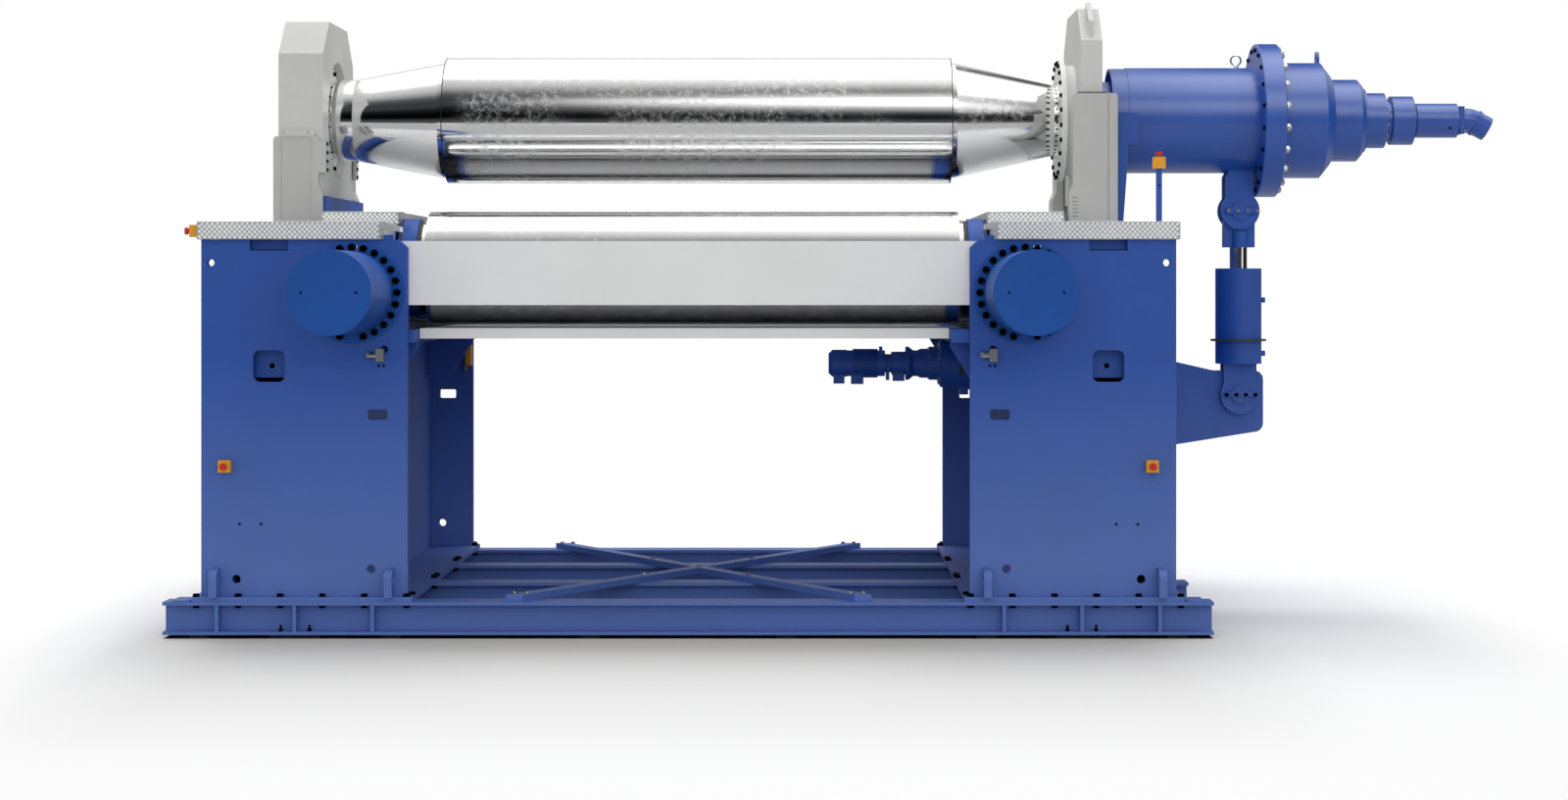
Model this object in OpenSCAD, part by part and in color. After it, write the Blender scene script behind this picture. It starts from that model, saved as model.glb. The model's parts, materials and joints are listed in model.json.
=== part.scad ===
// Three-roll plate rolling machine: two housings on a beam base, a lifting top roll with
// its drive, and two side rolls that are fed in from the front and the rear.
// X runs along the rolls towards the drive, Z is up and the front faces -Y.
// The origin is on the floor, midway between the housings.

/* [Base] */
// Length of the base beams
beam_len = 6410; // [6300:10:7000]
// Height of the base beams
beam_h = 200; // [180:10:220]
// Spacing of the four base beams
beam_pitch = 1130; // [1100:5:1150]
// Gap between the base beams and the floor
floor_gap = 22; // [20:1:30]
// Radius of the anchor bolt holes
anchor_r = 14; // [10:1:16]

/* [Housings] */
// Half the distance between the front plates of the two housings
plate_in = 1722; // [1715:1:1730]
// Distance from the middle to the outer edge of a front plate
plate_out = 2985; // [2960:5:3000]
// Thickness of the front and rear plates
plate_t = 60; // [40:5:60]
// Depth of a housing over its front and rear plates
house_depth = 3430; // [3400:10:3440]
// Height of the top edge of the housings
house_top = 2432; // [2430:1:2436]

/* [Rolls] */
// Length of the working face of the rolls
roll_len = 3380; // [3300:10:3400]
// Radius of the top roll
top_r = 419; // [400:1:425]
// Height of the top roll's axis
top_z = 3263; // [3255:1:3275]
// Radius of the side rolls
side_r = 359; // [340:1:362]
// Distance of a side roll's axis from the top roll's plane
side_y = 855; // [850:1:870]
// Height of the side rolls' axes
side_z = 2267; // [2265:1:2275]

/* [Feed cylinders] */
// Distance of the feed cylinders from the middle of the machine
feed_x = 2058; // [2050:1:2066]
// Height of the feed cylinders
feed_z = 2109; // [2100:1:2115]
// Length of a feed cylinder's barrel in front of its flange
feed_len = 845; // [800:5:900]
// Radius of a feed cylinder's flange
feed_flange_r = 311.5; // [305:0.5:312]

/* [Drive] */
// Radius of the torque tube
tube_r = 353.5; // [345:0.5:356]
// Radius of the drive flange
drive_flange_r = 514; // [500:1:520]
// Distance of the balance cylinder from the middle of the machine
balance_x = 3631; // [3620:1:3640]

/* [Hidden] */

blue = "#2b4e96";
grey = "#b0b1ae";
light_grey = "#cbcbcb";
steel = "#d2d4d6";
dark = "#3a3c3e";
deck_colour = "#e6e7e8";
yellow = "#e0a020";

$fn = 96;
eps = 1;                  // overshoot of a cut
run_gap = 0.05;           // radial gap of a running fit

// base
beam_w = 200;
beam_flange_t = 20;
beam_web_t = 12;
stiffener_gap = 6;         // from a stiffener's edge to the flanges' edges
beam_top = floor_gap + beam_h;
stiffener_t = 22;
stiffener_mid = 2402;
stiffener_pitch = 475;
anchor_x = [2315, 2490];
pad_x = [600, 1820, 2985];
pad_half = [60, 85];
anchor_pad_half = 150;
anchor_dy = 60;           // from a beam's web to the anchor holes in its flange
foot_in = 1684;
foot_out = 3030;
foot_t = 30;
foot_lip = 70;
foot_top = beam_top + foot_t;
brace_w = 90;
brace_t = 40;
brace_end_x = 1130;
brace_end_y = 1.5 * beam_pitch + 45;

// housing
half_depth = house_depth / 2;
plate_inner_y = half_depth - plate_t;
corner_cut = [54, 48];
inner_wall_x = 2022;
web_x = 2400;
wall_t = 50;
outer_wall_x = 2800;
outer_wall_t = 60;
head_t = 60;              // plate across the top of a housing that carries the guides
window_x = 2570;
window_z = 1658;
window_w = 194;
window_r = 40;
slot_x = 1905;
slot_z = 1362;
slot_w = 120;
slot_h = 64;
slot_r = 12;
notch_w = 234;
notch_h = 66;
plate_holes = [[2927, 2291, 22.5], [1863, 1761, 23.5], [1945, 417, 27], [2770, 354, 27]];
head_in = 2340;
rib_y = 1585;                // ribs close behind the windows
rib_t = 30;
rib_bottom = 1585;
rib_hole_r = 17;
lug_t = 48;
lug_reach = 130;
lug_h = 173;
lug_round = 62;
lug_eye_r = 30;
lug_x = [1825, 2890];
rest_x = [1808, 1870];
rest_h = 30;

// slide tables that carry the side rolls
table_in = [1686, 1613];   // left, right
table_z = 1800;
table_t = 80;
rail_in = 1720;
rail_out = 2300;
rail_t = 50;
rail_top = table_z + table_t + rail_t;
rail_grooves = [1830, 2150];
rail_groove_w = 40;
rail_groove_h = 30;
bracket_y = 1418;
bracket_t = 55;
bracket_heel = 1772;
bracket_slope = [179, 289];   // run and drop of a bracket's lower edge

// decks
deck_in = 1880;
deck_out = 3006;
deck_top = 2542;
deck_y = half_depth + 30;
sheet_t = 8;
step_in = 1870;
step_out = 2361;
step_y = 1055;
step_top = 2620;
flap_fold = 1857;         // sloping flaps beside the side rolls, at the decks' corners
flap_edge = [1766, 1812]; // left, right
flap_drop = [32, 16];
flap_t = [46, 30];
flap_len = 145;
step_flap_fold = 1846;
step_flap_edge = 1811;
step_flap_drop = 22;
step_flap_len = 60;
joist_x = [2335, 2880];
joist_w = 50;
well_y = 1165;            // half the length of the space that the side blocks need in the deck
guide_gap = 6;

// top roll guides
guide_in_left = 2424;
guide_in_right = 2429;
guide_out = 2745;
guide_top_left = 3122;
guide_top_right = 3404;
guide_front = 660;
guide_rear = 847;
guide_lip = 545;          // how far in the guides' lips reach beside the blocks
slide_y = 617;            // face that a block slides on
column_cut = 14;
edge_back = 26;           // the columns' inner edges step back above the flare
flare_z = [2746, 2808];
panel_x = [2497, 2695];   // sunk panel on a left column
panel_top = 3118;
panel_t = 6;
groove_x = 2679;          // upright groove on a right column
groove_w = 11;
gib_in = 2404;            // keeper strips inboard of the left block
gib_y = 560;
gib_bottom = 2886;
gib_top = 3097;
sill_front = 635;
sill_rear = 891;
sill_top = 2735;

// top roll blocks
block_y = 611;
block_bottom = 2700;
block_left = [2431, 2720, 3665, 3895];     // inner x, outer x, shoulder z, top z
block_right = [2512, 2651, 3751, 3980];
bevel_flat = 357;         // half the width of a block's flat top
eye_plate_x = 2565;
eye_plate_t = 32;
eye_plate_low = [[-30, 20], [-20, 130]];   // corners, from the lower end of the bevel
eye_plate_high = [[20, 40], [-20, -5]];    // corners, from its upper end
eye_plate_hole = [-110, 150];              // from its lower end
eye_plate_hole_r = 22;
neck_r = 220;
neck_end_left = 2700;
collar_r = 256;
collar_left = [2476, 2404];
collar_groove = [2442, 2436, 8];           // from, to and depth of a groove round the left collar
collar_right = [2400, 2505];
step_r = 273;
step_x = 2296;            // where the left end of the roll starts to widen
bead_r = 238;
bead_x = 2372;
shoulder_r = 382;
shoulder_t = 30;
cover_bore_r = 262;
cover_t = 30;
cover_left_r = 360;
recess_r = 392;           // recess round the left cover
recess_t = 77;
cover_right_r = 408;
cover_right_x = [2410, 2445];
spigot_r = 370;

// side roll blocks
side_block_in = 1865;
side_block_out = 2326;
side_block_half = 330;
side_block_bottom = rail_top + 5;
side_block_h = 489;
side_block_cut = 40;
side_ring_r = 312;
side_ring_bore_r = 190;
side_ring_in = 1750;
ring_groove = [1846, 1862];
ring_groove_t = 6;
crown_r = 325;            // round top of a side block, under the raised step
crown_in = 1886;
side_step_r = 305;
side_neck_r = 180;
side_neck_end = 2306;
rod_r = 100;
rod_gap = 15;             // round a rod where it goes through a plate
feed_barrel_r = 251.5;
feed_bore_r = 190;
feed_flange_t = 30;
feed_port_x = 160;
feed_port_r = 8;
feed_port_depth = 25;
piston_y = 2400;
piston_t = 80;

// beams between the housings and the pan under the rolls
cross_beam_x = 1840;
cross_beam_d = 200;
cross_beam_t = 14;
cross_beam_bottom = 2032;
cross_beam_top = 2425;
tray_gap = 6;             // between the pan and the slide tables
tray_y = 1473;
tray_top = 1886;
tray_h = 63;
tray_rib_pitch = 600;
tray_rib_t = 12;

// torque tube and drive
tube_in = 2752;
tube_seam = 2861;
tube_out = 3734;
tube_wall = 24;
tube_step = 5.5;          // the first length of the tube is smaller by this
shaft_r = 195;
flange_t = 142;
flange_cut = 6;
hub_x = 2790;
hub_r = 260;
hub_t = 40;
hub_bore_r = 205;
case_r = 387;             // gearbox against the flange
case_end = 4168;
cone_end = 4232;
cone_r = 305;
drum_r = 275;
drum_end = 4418;
drum_chamfer = [31, 35];
stage_r = 185;            // last stage of the gearbox and the neck behind it
stage_lip_r = 215;
stage_x = [4470, 4604];
neck_end = 4648;
drive_neck_r = 131;
coupling_r = 163;
coupling_end = 4795;
motor_r = 115;
motor_x = [4816, 5095];
motor_gap_r = 100;
port_plate = [5102, 5134, 92];   // inner x, outer x, half the width
elbow_r = 82;
elbow_x = 5163;
elbow_bend_r = 130;
elbow_turn = 28;
elbow_len = 91;
elbow_collar = [-6, 14, 7];   // start, end and height of the collar behind the bend
drive_eye_x = 4150;
drive_eye_r = 38;
eye_t = 20;
leg_front = 365;
leg_rear = 480;
leg_box = [3084, 3287];
leg_box_x = 2899;
leg_foot = 110;           // height of the column's foot over the housing
leg_w = [55, 94];         // its width at the foot and at the top

// balance cylinder
balance_top_z = 2655;
balance_low_z = 1422;
balance_pin_r = 60;
barrel_r = 154;
barrel_bore_r = 125;
barrel_bottom = 1628;
barrel_top = 2268;
barrel_floor = 1690;
gland_t = 50;
barrel_ports = [1697, 2056];
port_r = 18;
port_reach = 25;
ring_z = [1780, 1793];
ring_r = 186;
rod_small_r = 58;
piston_small_z = [1860, 1940];
head_z = [2410, 2560];    // block that the rod screws into
head_half = 102;
head_depth = 55;
head_boss_r = 51;
head_boss_h = 108;
cheek_y = [58, 98];
cheek_r = 128;
cheek_x = [-98, 88];
cheek_cut = [40, 80];
cheek_top = 2963;
low_cheek_y = [40, 80];
low_cheek_r = 130;
low_cheek_half = 110;
bracket_half = 30;
bracket_round = 60;
bracket_end = 3793;
bracket_root = [1720, 1030];               // top and bottom of the bracket at the wall
bracket_over = [[3221, 1637], [3461, 1582]];
bracket_under = [[3733, 1169], [3221, 1087]];
wall_pad_t = 40;
wall_pad_half = 200;
wall_pad_z = [980, 1770];
pin_end = 15;

// side drive and operator's parts
side_drive_z = 1630;
fan_r = 91;
fan_x = [871, 897, 993];
fan_edge_r = 67;
side_motor_r = 87;
side_motor_end = 1250;
lug_ring_r = 112;
brake_x = [1293, 1389];
brake_r = 78;
brake_gap_r = 62;
lug_ring_t = 20;
side_taper = [1440, 1468, 1488];
side_lugs = [[1212, 1232, 1], [1257, 1279, -1]];     // start, end, above or below the axis
side_lug_half = 60;
side_boxes = [[904, 978, 48, 136], [1022, 1105, 52, 139], [1303, 1381, 60, 118]];
side_box_top = 60;        // below the axis; each box has its start, end, half width and reach
side_case_r = 98;
side_flange_x = [1545, 1607];
side_drum_r = 162;
side_drum_x = 1627;
side_drum_cut = [12, 14];
sensor_x = [-1912, 1840];
sensor_w = 48;
sensor_z = [1686, 1764];
sensor_depth = 45;
sensor_stub = 58;
sensor_stub_r = 18.5;
stop_x = 2834;
stop_z = 1047;
stop_half = 37;
stop_depth = 60;
knob_r = [14, 22];        // stem and head of a button
knob_h = [15, 18];
post_x = 2917;
post_y = -1415;
post_top = 2880;
post_half = 17;
post_foot = [55, 40];
post_box_h = 72;
deck_stop_y = -1648;
deck_stop_z = 2487;
inner_box_x = [1725, 1761];
inner_box_z = [1570, 1720];
inner_box_depth = 80;

// ---- helpers ----

// Built for the right side (side = 1) and turned over for the left one (side = -1)
module on_side(side) {
    mirror([side < 0 ? 1 : 0, 0, 0]) children();
}

// Built for the rear (end = 1) and turned over for the front (end = -1)
module on_end(end) {
    mirror([0, end < 0 ? 1 : 0, 0]) children();
}

module both_sides() {
    for (side = [-1, 1]) on_side(side) children();
}

module both_ends() {
    for (end = [-1, 1]) on_end(end) children();
}

// A box between two corners
module block(a, b) {
    translate(a) cube(b - a);
}

// A round bar along X, about the X axis
module x_bar(x0, x1, r) {
    translate([x0, 0, 0]) rotate([0, 90, 0]) cylinder(h = x1 - x0, r = r);
}

// A round bar along Y, about the Y axis
module y_bar(y0, y1, r) {
    translate([0, y1, 0]) rotate([90, 0, 0]) cylinder(h = y1 - y0, r = r);
}

// A profile of [x, radius] points turned about the X axis
module x_turned(points) {
    rotate([0, 90, 0]) rotate_extrude() polygon([for (p = points) [p[1], p[0]]]);
}

// An outline in [y, z] pushed along X
module x_plate(x0, x1) {
    translate([x0, 0, 0]) rotate([90, 0, 90]) linear_extrude(x1 - x0) children();
}

// An outline in [x, z] pushed along Y
module y_plate(y0, y1) {
    translate([0, y1, 0]) rotate([90, 0, 0]) linear_extrude(y1 - y0) children();
}

// A rectangle with round corners, about its middle
module rounded(w, h, r) {
    square([w - 2 * r, h], center = true);
    square([w, h - 2 * r], center = true);
    for (x = [r - w / 2, w / 2 - r], y = [r - h / 2, h / 2 - r]) translate([x, y]) circle(r);
}

// ---- base ----

module beam_profile() {
    translate([-beam_w / 2, 0]) square([beam_w, beam_flange_t]);
    translate([-beam_w / 2, beam_h - beam_flange_t]) square([beam_w, beam_flange_t]);
    translate([-beam_web_t / 2, 0]) square([beam_web_t, beam_h]);
}

module beam(y) {
    translate([0, y, floor_gap]) {
        x_plate(-beam_len / 2, beam_len / 2) beam_profile();
        both_sides() for (i = [-1:1]) translate([stiffener_mid + i * stiffener_pitch, 0, 0])
            block([-stiffener_t / 2, stiffener_gap - beam_w / 2, beam_flange_t - eps],
                  [stiffener_t / 2, beam_w / 2 - stiffener_gap, beam_h - beam_flange_t + eps]);
    }
}

module base_beams() {
    color(blue) difference() {
        for (i = [-1.5:1.5]) beam(i * beam_pitch);
        for (x = anchor_x, sx = [-1, 1], sy = [-1, 1])
            translate([sx * x, sy * (1.5 * beam_pitch + anchor_dy), floor_gap - eps])
                cylinder(h = beam_flange_t + 2 * eps, r = anchor_r);
    }
}

// Pads that level the beams, drilled where the anchor bolts go down into the floor
module levelling_pads() {
    color(dark) both_sides() {
        for (i = [-1.5:1.5], x = pad_x) translate([x, i * beam_pitch, 0])
            block([-pad_half[0], -pad_half[1], 0], [pad_half[0], pad_half[1], floor_gap]);
        both_ends() difference() {
            translate([stiffener_mid, 1.5 * beam_pitch, 0])
                block([-anchor_pad_half, -pad_half[1], 0], [anchor_pad_half, pad_half[1], floor_gap]);
            for (x = anchor_x) translate([x, 1.5 * beam_pitch + anchor_dy, -eps])
                cylinder(h = floor_gap + 2 * eps, r = anchor_r);
        }
    }
}

// A flat bar across the beams, with its ends cut parallel to them
module brace_bar() {
    intersection() {
        rotate(atan2(1.5 * beam_pitch, brace_end_x - brace_w))
            square([4 * brace_end_x, brace_w], center = true);
        square([2 * brace_end_x, 2 * brace_end_y], center = true);
    }
}

// The bars are halved where they cross, so that they lie level
module brace(turn, cut_z) {
    color(blue) difference() {
        translate([0, 0, beam_top]) linear_extrude(brace_t) on_side(turn) brace_bar();
        translate([0, 0, cut_z]) linear_extrude(brace_t) on_side(-turn) brace_bar();
    }
}

module foot_plate(side) {
    color(blue) on_side(side)
        block([foot_in, -half_depth - foot_lip, beam_top], [foot_out, half_depth + foot_lip, foot_top]);
}

// ---- housings ----

module plate_outline() {
    difference() {
        polygon([
            [plate_in, foot_top], [plate_out, foot_top], [plate_out, house_top],
            [window_x + notch_w / 2, house_top], [window_x + notch_w / 2, house_top - notch_h],
            [window_x - notch_w / 2, house_top - notch_h], [window_x - notch_w / 2, house_top],
            [plate_in + corner_cut[0], house_top], [plate_in, house_top - corner_cut[1]]
        ]);
        translate([window_x, window_z]) rounded(window_w, window_w, window_r);
        translate([slot_x, slot_z]) rounded(slot_w, slot_h, slot_r);
        translate([feed_x, feed_z]) circle(rod_r + rod_gap);
        for (hole = plate_holes) translate([hole[0], hole[1]]) circle(hole[2]);
    }
}

// A lifting lug seen from the side, standing out of the plate towards +Y
module lug_outline() {
    eye_y = lug_reach - lug_round;
    eye_z = lug_h - lug_round;
    difference() {
        union() {
            translate([-eps, 0]) square([lug_reach + eps, eye_z]);
            translate([-eps, 0]) square([eye_y + eps, lug_h]);
            translate([eye_y, eye_z]) circle(lug_round);
        }
        translate([eye_y, eye_z]) circle(lug_eye_r);
    }
}

// A front or rear plate with its two lifting lugs and the rest for the deck's inner edge
module end_plate(side, end) {
    color(blue) on_side(side) on_end(end) {
        y_plate(plate_inner_y, half_depth) plate_outline();
        for (x = lug_x) translate([0, half_depth, foot_top])
            x_plate(x - lug_t / 2, x + lug_t / 2) lug_outline();
        block([rest_x[0], plate_inner_y, house_top - eps],
              [rest_x[1], half_depth - sheet_t, house_top + rest_h]);
    }
}

module inner_wall(side) {
    color(blue) on_side(side)
        block([inner_wall_x, -plate_inner_y, foot_top], [inner_wall_x + wall_t, plate_inner_y, table_z]);
}

// The wall under the guides, the head plate that they stand on, and the ribs behind the windows
module housing_web(side) {
    color(blue) on_side(side) {
        block([web_x, -plate_inner_y, foot_top], [web_x + wall_t, plate_inner_y, house_top - head_t]);
        block([head_in, -plate_inner_y, house_top - head_t], [outer_wall_x, plate_inner_y, house_top]);
        both_ends() y_plate(rib_y, rib_y + rib_t) difference() {
            translate([web_x + wall_t - eps, rib_bottom])
                square([outer_wall_x - web_x - wall_t + eps, house_top - head_t - rib_bottom + eps]);
            translate([window_x, window_z]) circle(rib_hole_r);
        }
    }
}

module outer_wall(side) {
    color(blue) on_side(side)
        block([outer_wall_x, -plate_inner_y, foot_top],
              [outer_wall_x + outer_wall_t, plate_inner_y, house_top]);
}

// The shelf that carries the side rolls, with a bracket back to the inner wall at each end
module slide_table(side, x_in) {
    color(blue) on_side(side) {
        block([x_in, -plate_inner_y, table_z], [web_x, plate_inner_y, table_z + table_t]);
        both_ends() y_plate(bracket_y, bracket_y + bracket_t) polygon([
            [x_in, table_z + eps], [x_in, bracket_heel],
            [x_in + bracket_slope[0], bracket_heel - bracket_slope[1]],
            [inner_wall_x, bracket_heel - bracket_slope[1]], [inner_wall_x, table_z + eps]
        ]);
    }
}

module slide_rails(side) {
    color(dark) on_side(side) difference() {
        block([rail_in, -plate_inner_y, table_z + table_t], [rail_out, plate_inner_y, rail_top]);
        for (x = rail_grooves) block([x, -plate_inner_y - eps, rail_top - rail_groove_h],
                                     [x + rail_groove_w, plate_inner_y + eps, rail_top + eps]);
    }
}

// ---- decks ----

// A folded sheet tray, open below
module tray(a, b) {
    difference() {
        block(a, b);
        block([a[0] + sheet_t, a[1] + sheet_t, a[2] - eps], [b[0] - sheet_t, b[1] - sheet_t, b[2] - sheet_t]);
    }
}

// A flap from the edge of a deck at x: level as far as its fold, then sloping down to its edge
module flap_outline(x, z, fold, edge, drop, t) {
    polygon([
        [x, z], [fold, z], [edge, z - drop], [edge, z - drop - t[1]], [fold, z - t[0]], [x, z - t[0]]
    ]);
}

// A deck with a raised step over the side blocks, open round the guide columns
module deck(guide_x, edge, drop) {
    difference() {
        union() {
            tray([deck_in, -deck_y, house_top + 2], [deck_out, deck_y, deck_top]);
            for (x = joist_x)
                block([x, -half_depth, house_top], [x + joist_w, half_depth, deck_top - sheet_t + eps]);
        }
        both_ends() block([guide_x - guide_gap, guide_lip - guide_gap, house_top - eps],
                          [guide_out + guide_gap, guide_rear + guide_gap, deck_top + eps]);
        block([deck_in - eps, -well_y, house_top - eps], [joist_x[0], well_y, deck_top - sheet_t]);
        block([deck_in - eps, -step_y + sheet_t, house_top],
              [joist_x[0], step_y - sheet_t, deck_top + eps]);
    }
    tray([step_in, -step_y, deck_top], [step_out, step_y, step_top]);
    both_ends() y_plate(deck_y - flap_len, deck_y)
        flap_outline(deck_in + eps, deck_top, flap_fold, edge, drop, flap_t);
}

module deck_left() {
    color(deck_colour) on_side(-1) {
        deck(gib_in, flap_edge[0], flap_drop[0]);
        both_ends() y_plate(step_y - step_flap_len, step_y)
            flap_outline(step_in + eps, step_top, step_flap_fold, step_flap_edge, step_flap_drop,
                         [sheet_t, sheet_t]);
    }
}

module deck_right() {
    color(deck_colour) deck(guide_in_right, flap_edge[1], flap_drop[1]);
}

// ---- top roll guides ----

// Guide column in plan, on the right and at the rear, with lips on both sides of the block
module column_plan(x0, x1, lip_in, lip_out, depth) {
    difference() {
        translate([x0, guide_lip]) square([x1 - x0, depth - guide_lip]);
        translate([lip_in, guide_lip - eps]) square([lip_out - lip_in, slide_y - guide_lip + eps]);
    }
}

// A column from the front: top corners cut off, inner edge stepped back above a flare
module column(x0, x1, lip_in, lip_out, depth, top) {
    intersection() {
        translate([0, 0, house_top]) linear_extrude(top - house_top)
            column_plan(x0, x1, lip_in, lip_out, depth);
        y_plate(guide_lip - eps, depth + eps) polygon([
            [x0, house_top], [x1, house_top], [x1, top - column_cut], [x1 - column_cut, top],
            [x0 + edge_back + column_cut, top], [x0 + edge_back, top - column_cut],
            [x0 + edge_back, flare_z[1]], [x0, flare_z[0]]
        ]);
    }
}

module guides_left() {
    color(grey) on_side(-1) {
        on_end(-1) guide_column_left(guide_front);
        guide_column_left(guide_rear);
        both_ends() {
            block([gib_in, gib_y, gib_bottom], [guide_in_left, guide_front, gib_top]);
            block([gib_in, slide_y, gib_bottom], [guide_in_left + edge_back + eps, guide_front, gib_top]);
        }
    }
}

module guide_column_left(depth) {
    difference() {
        column(guide_in_left, guide_out, guide_in_left - eps, block_left[1] + 5, depth, guide_top_left);
        block([panel_x[0], depth - panel_t, deck_top], [panel_x[1], depth + eps, panel_top]);
    }
}

module guides_right() {
    color(grey) {
        on_end(-1) guide_column_right(guide_front);
        guide_column_right(guide_rear);
    }
}

module guide_column_right(depth) {
    difference() {
        column(guide_in_right, guide_out, block_right[0] - 7, block_right[1] + 7, depth, guide_top_right);
        block([groove_x, depth - panel_t, deck_top],
              [groove_x + groove_w, depth + eps, guide_top_right + eps]);
    }
}

module guide_sill() {
    color(blue) on_side(-1)
        block([gib_in, -sill_front, deck_top], [guide_in_left, sill_rear, sill_top]);
}

// ---- side roll feed ----

module feed_cylinder(side) {
    on_side(side) translate([feed_x, 0, feed_z]) difference() {
        union() {
            y_bar(half_depth, half_depth + feed_flange_t, feed_flange_r);
            y_bar(half_depth, half_depth + feed_flange_t + feed_len, feed_barrel_r);
        }
        y_bar(half_depth - eps, half_depth + 2 * feed_flange_t + eps, rod_r + run_gap);
        y_bar(half_depth + 2 * feed_flange_t, half_depth + feed_len, feed_bore_r);
        for (s = [-1, 1]) translate([s * feed_port_x, 0, 0])
            y_bar(half_depth + feed_flange_t + feed_len - feed_port_depth,
                  half_depth + feed_flange_t + feed_len + eps, feed_port_r);
    }
}

module feed_cylinders(end) {
    color(blue) on_end(end) for (side = [-1, 1]) feed_cylinder(side);
}

module feed_rods(end) {
    color(steel) on_end(end) both_sides() translate([feed_x, 0, feed_z]) {
        y_bar(side_y + side_block_half, piston_y, rod_r);
        y_bar(piston_y, piston_y + piston_t, feed_bore_r - run_gap);
    }
}

// ---- beams between the housings ----

module cross_beam(end) {
    color(light_grey) on_end(end) difference() {
        block([-cross_beam_x, plate_inner_y - cross_beam_d, cross_beam_bottom],
              [cross_beam_x, plate_inner_y, cross_beam_top]);
        block([-cross_beam_x + cross_beam_t, plate_inner_y - cross_beam_d + cross_beam_t,
               cross_beam_bottom + cross_beam_t],
              [cross_beam_x - cross_beam_t, plate_inner_y - cross_beam_t, cross_beam_top - cross_beam_t]);
    }
}

// A folded pan under the rolls, with stiffening ribs below
module catch_tray() {
    x0 = tray_gap - table_in[0];
    x1 = table_in[1] - tray_gap;
    color(light_grey) {
        tray([x0, -tray_y, tray_top - tray_h], [x1, tray_y, tray_top]);
        for (i = [-2:2]) translate([i * tray_rib_pitch, 0, 0])
            block([-tray_rib_t / 2, -tray_y + eps, tray_top - tray_h],
                  [tray_rib_t / 2, tray_y - eps, tray_top - eps]);
    }
}

// ---- rolls ----

// The working face narrows at both ends to the collars and necks that run in the blocks
module top_roll() {
    face = roll_len / 2;
    groove_r = collar_r - collar_groove[2];
    color(steel) translate([0, 0, top_z]) x_turned([
        [-neck_end_left, 0], [-neck_end_left, neck_r], [-collar_left[0], neck_r],
        [-collar_left[0], collar_r], [-collar_groove[0], collar_r], [-collar_groove[0], groove_r],
        [-collar_groove[1], groove_r], [-collar_groove[1], collar_r], [-collar_left[1], collar_r],
        [-collar_left[1], step_r], [-step_x, step_r], [-face - shoulder_t, shoulder_r],
        [-face, shoulder_r], [-face, top_r], [face, top_r], [face, shoulder_r],
        [face + shoulder_t, shoulder_r], [bead_x, bead_r], [collar_right[0], bead_r],
        [collar_right[0], collar_r], [collar_right[1], collar_r], [collar_right[1], neck_r],
        [block_right[1], neck_r], [block_right[1], shaft_r], [tube_out - 10, shaft_r], [tube_out - 10, 0]
    ]);
}

module side_roll(end) {
    face = roll_len / 2;
    shoulder = face + shoulder_t;
    color(steel) on_end(end) translate([0, side_y, side_z]) x_turned([
        [-side_neck_end, 0], [-side_neck_end, side_neck_r], [-shoulder, side_neck_r],
        [-shoulder, side_step_r], [-face, side_step_r], [-face, side_r], [face, side_r],
        [face, side_step_r], [shoulder, side_step_r], [shoulder, side_neck_r],
        [side_neck_end, side_neck_r], [side_neck_end, 0]
    ]);
}

module side_blocks(end) {
    color(blue) on_end(end) both_sides() difference() {
        union() {
            x_plate(side_block_in, side_block_out) translate([side_y, side_block_bottom]) polygon([
                [-side_block_half, 0], [side_block_half, 0],
                [side_block_half, side_block_h - side_block_cut],
                [side_block_half - side_block_cut, side_block_h],
                [-side_block_half + side_block_cut, side_block_h],
                [-side_block_half, side_block_h - side_block_cut]
            ]);
            translate([0, side_y, side_z]) x_bar(crown_in, side_block_out, crown_r);
        }
        translate([0, side_y, side_z])
            x_bar(side_block_in - eps, side_block_out + eps, side_neck_r + run_gap);
    }
}

// Rings round the side rolls' necks that close the bearings, each with a sealing groove
module bearing_rings(end) {
    color(blue) on_end(end) both_sides() translate([0, side_y, side_z]) x_turned([
        [side_ring_in, side_ring_bore_r], [side_ring_in, side_ring_r],
        [ring_groove[0], side_ring_r], [ring_groove[0], side_ring_r - ring_groove_t],
        [ring_groove[1], side_ring_r - ring_groove_t], [ring_groove[1], side_ring_r],
        [side_block_in, side_ring_r], [side_block_in, side_ring_bore_r]
    ]);
}

// ---- top roll carriage ----

module top_block_outline(b) {
    polygon([
        [-block_y, block_bottom], [block_y, block_bottom], [block_y, b[2]], [bevel_flat, b[3]],
        [-bevel_flat, b[3]], [-block_y, b[2]]
    ]);
}

module top_block_left() {
    color(grey) difference() {
        x_plate(-block_left[1], -block_left[0]) top_block_outline(block_left);
        translate([0, 0, top_z]) {
            x_bar(-block_left[1] - eps, -block_left[0] + eps, neck_r + run_gap);
            x_bar(-block_left[0] - recess_t, -block_left[0] + eps, recess_r);
        }
    }
}

module top_block_right() {
    color(grey) {
        difference() {
            x_plate(block_right[0], block_right[1]) top_block_outline(block_right);
            translate([0, 0, top_z]) x_bar(block_right[0] - eps, block_right[1] + eps, neck_r + run_gap);
        }
        both_ends() x_plate(eye_plate_x, eye_plate_x + eye_plate_t) difference() {
            low = [block_y, block_right[2]];
            high = [bevel_flat, block_right[3]];
            polygon([
                low + eye_plate_low[0], low + eye_plate_low[1],
                high + eye_plate_high[0], high + eye_plate_high[1]
            ]);
            translate(low + eye_plate_hole) circle(eye_plate_hole_r);
        }
    }
}

module cover_left() {
    face = -block_left[0] - recess_t + cover_t;
    color("white") translate([0, 0, top_z]) x_turned([
        [face - cover_t, cover_bore_r], [face - cover_t, cover_left_r],
        [face, cover_left_r], [face, cover_bore_r]
    ]);
}

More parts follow.
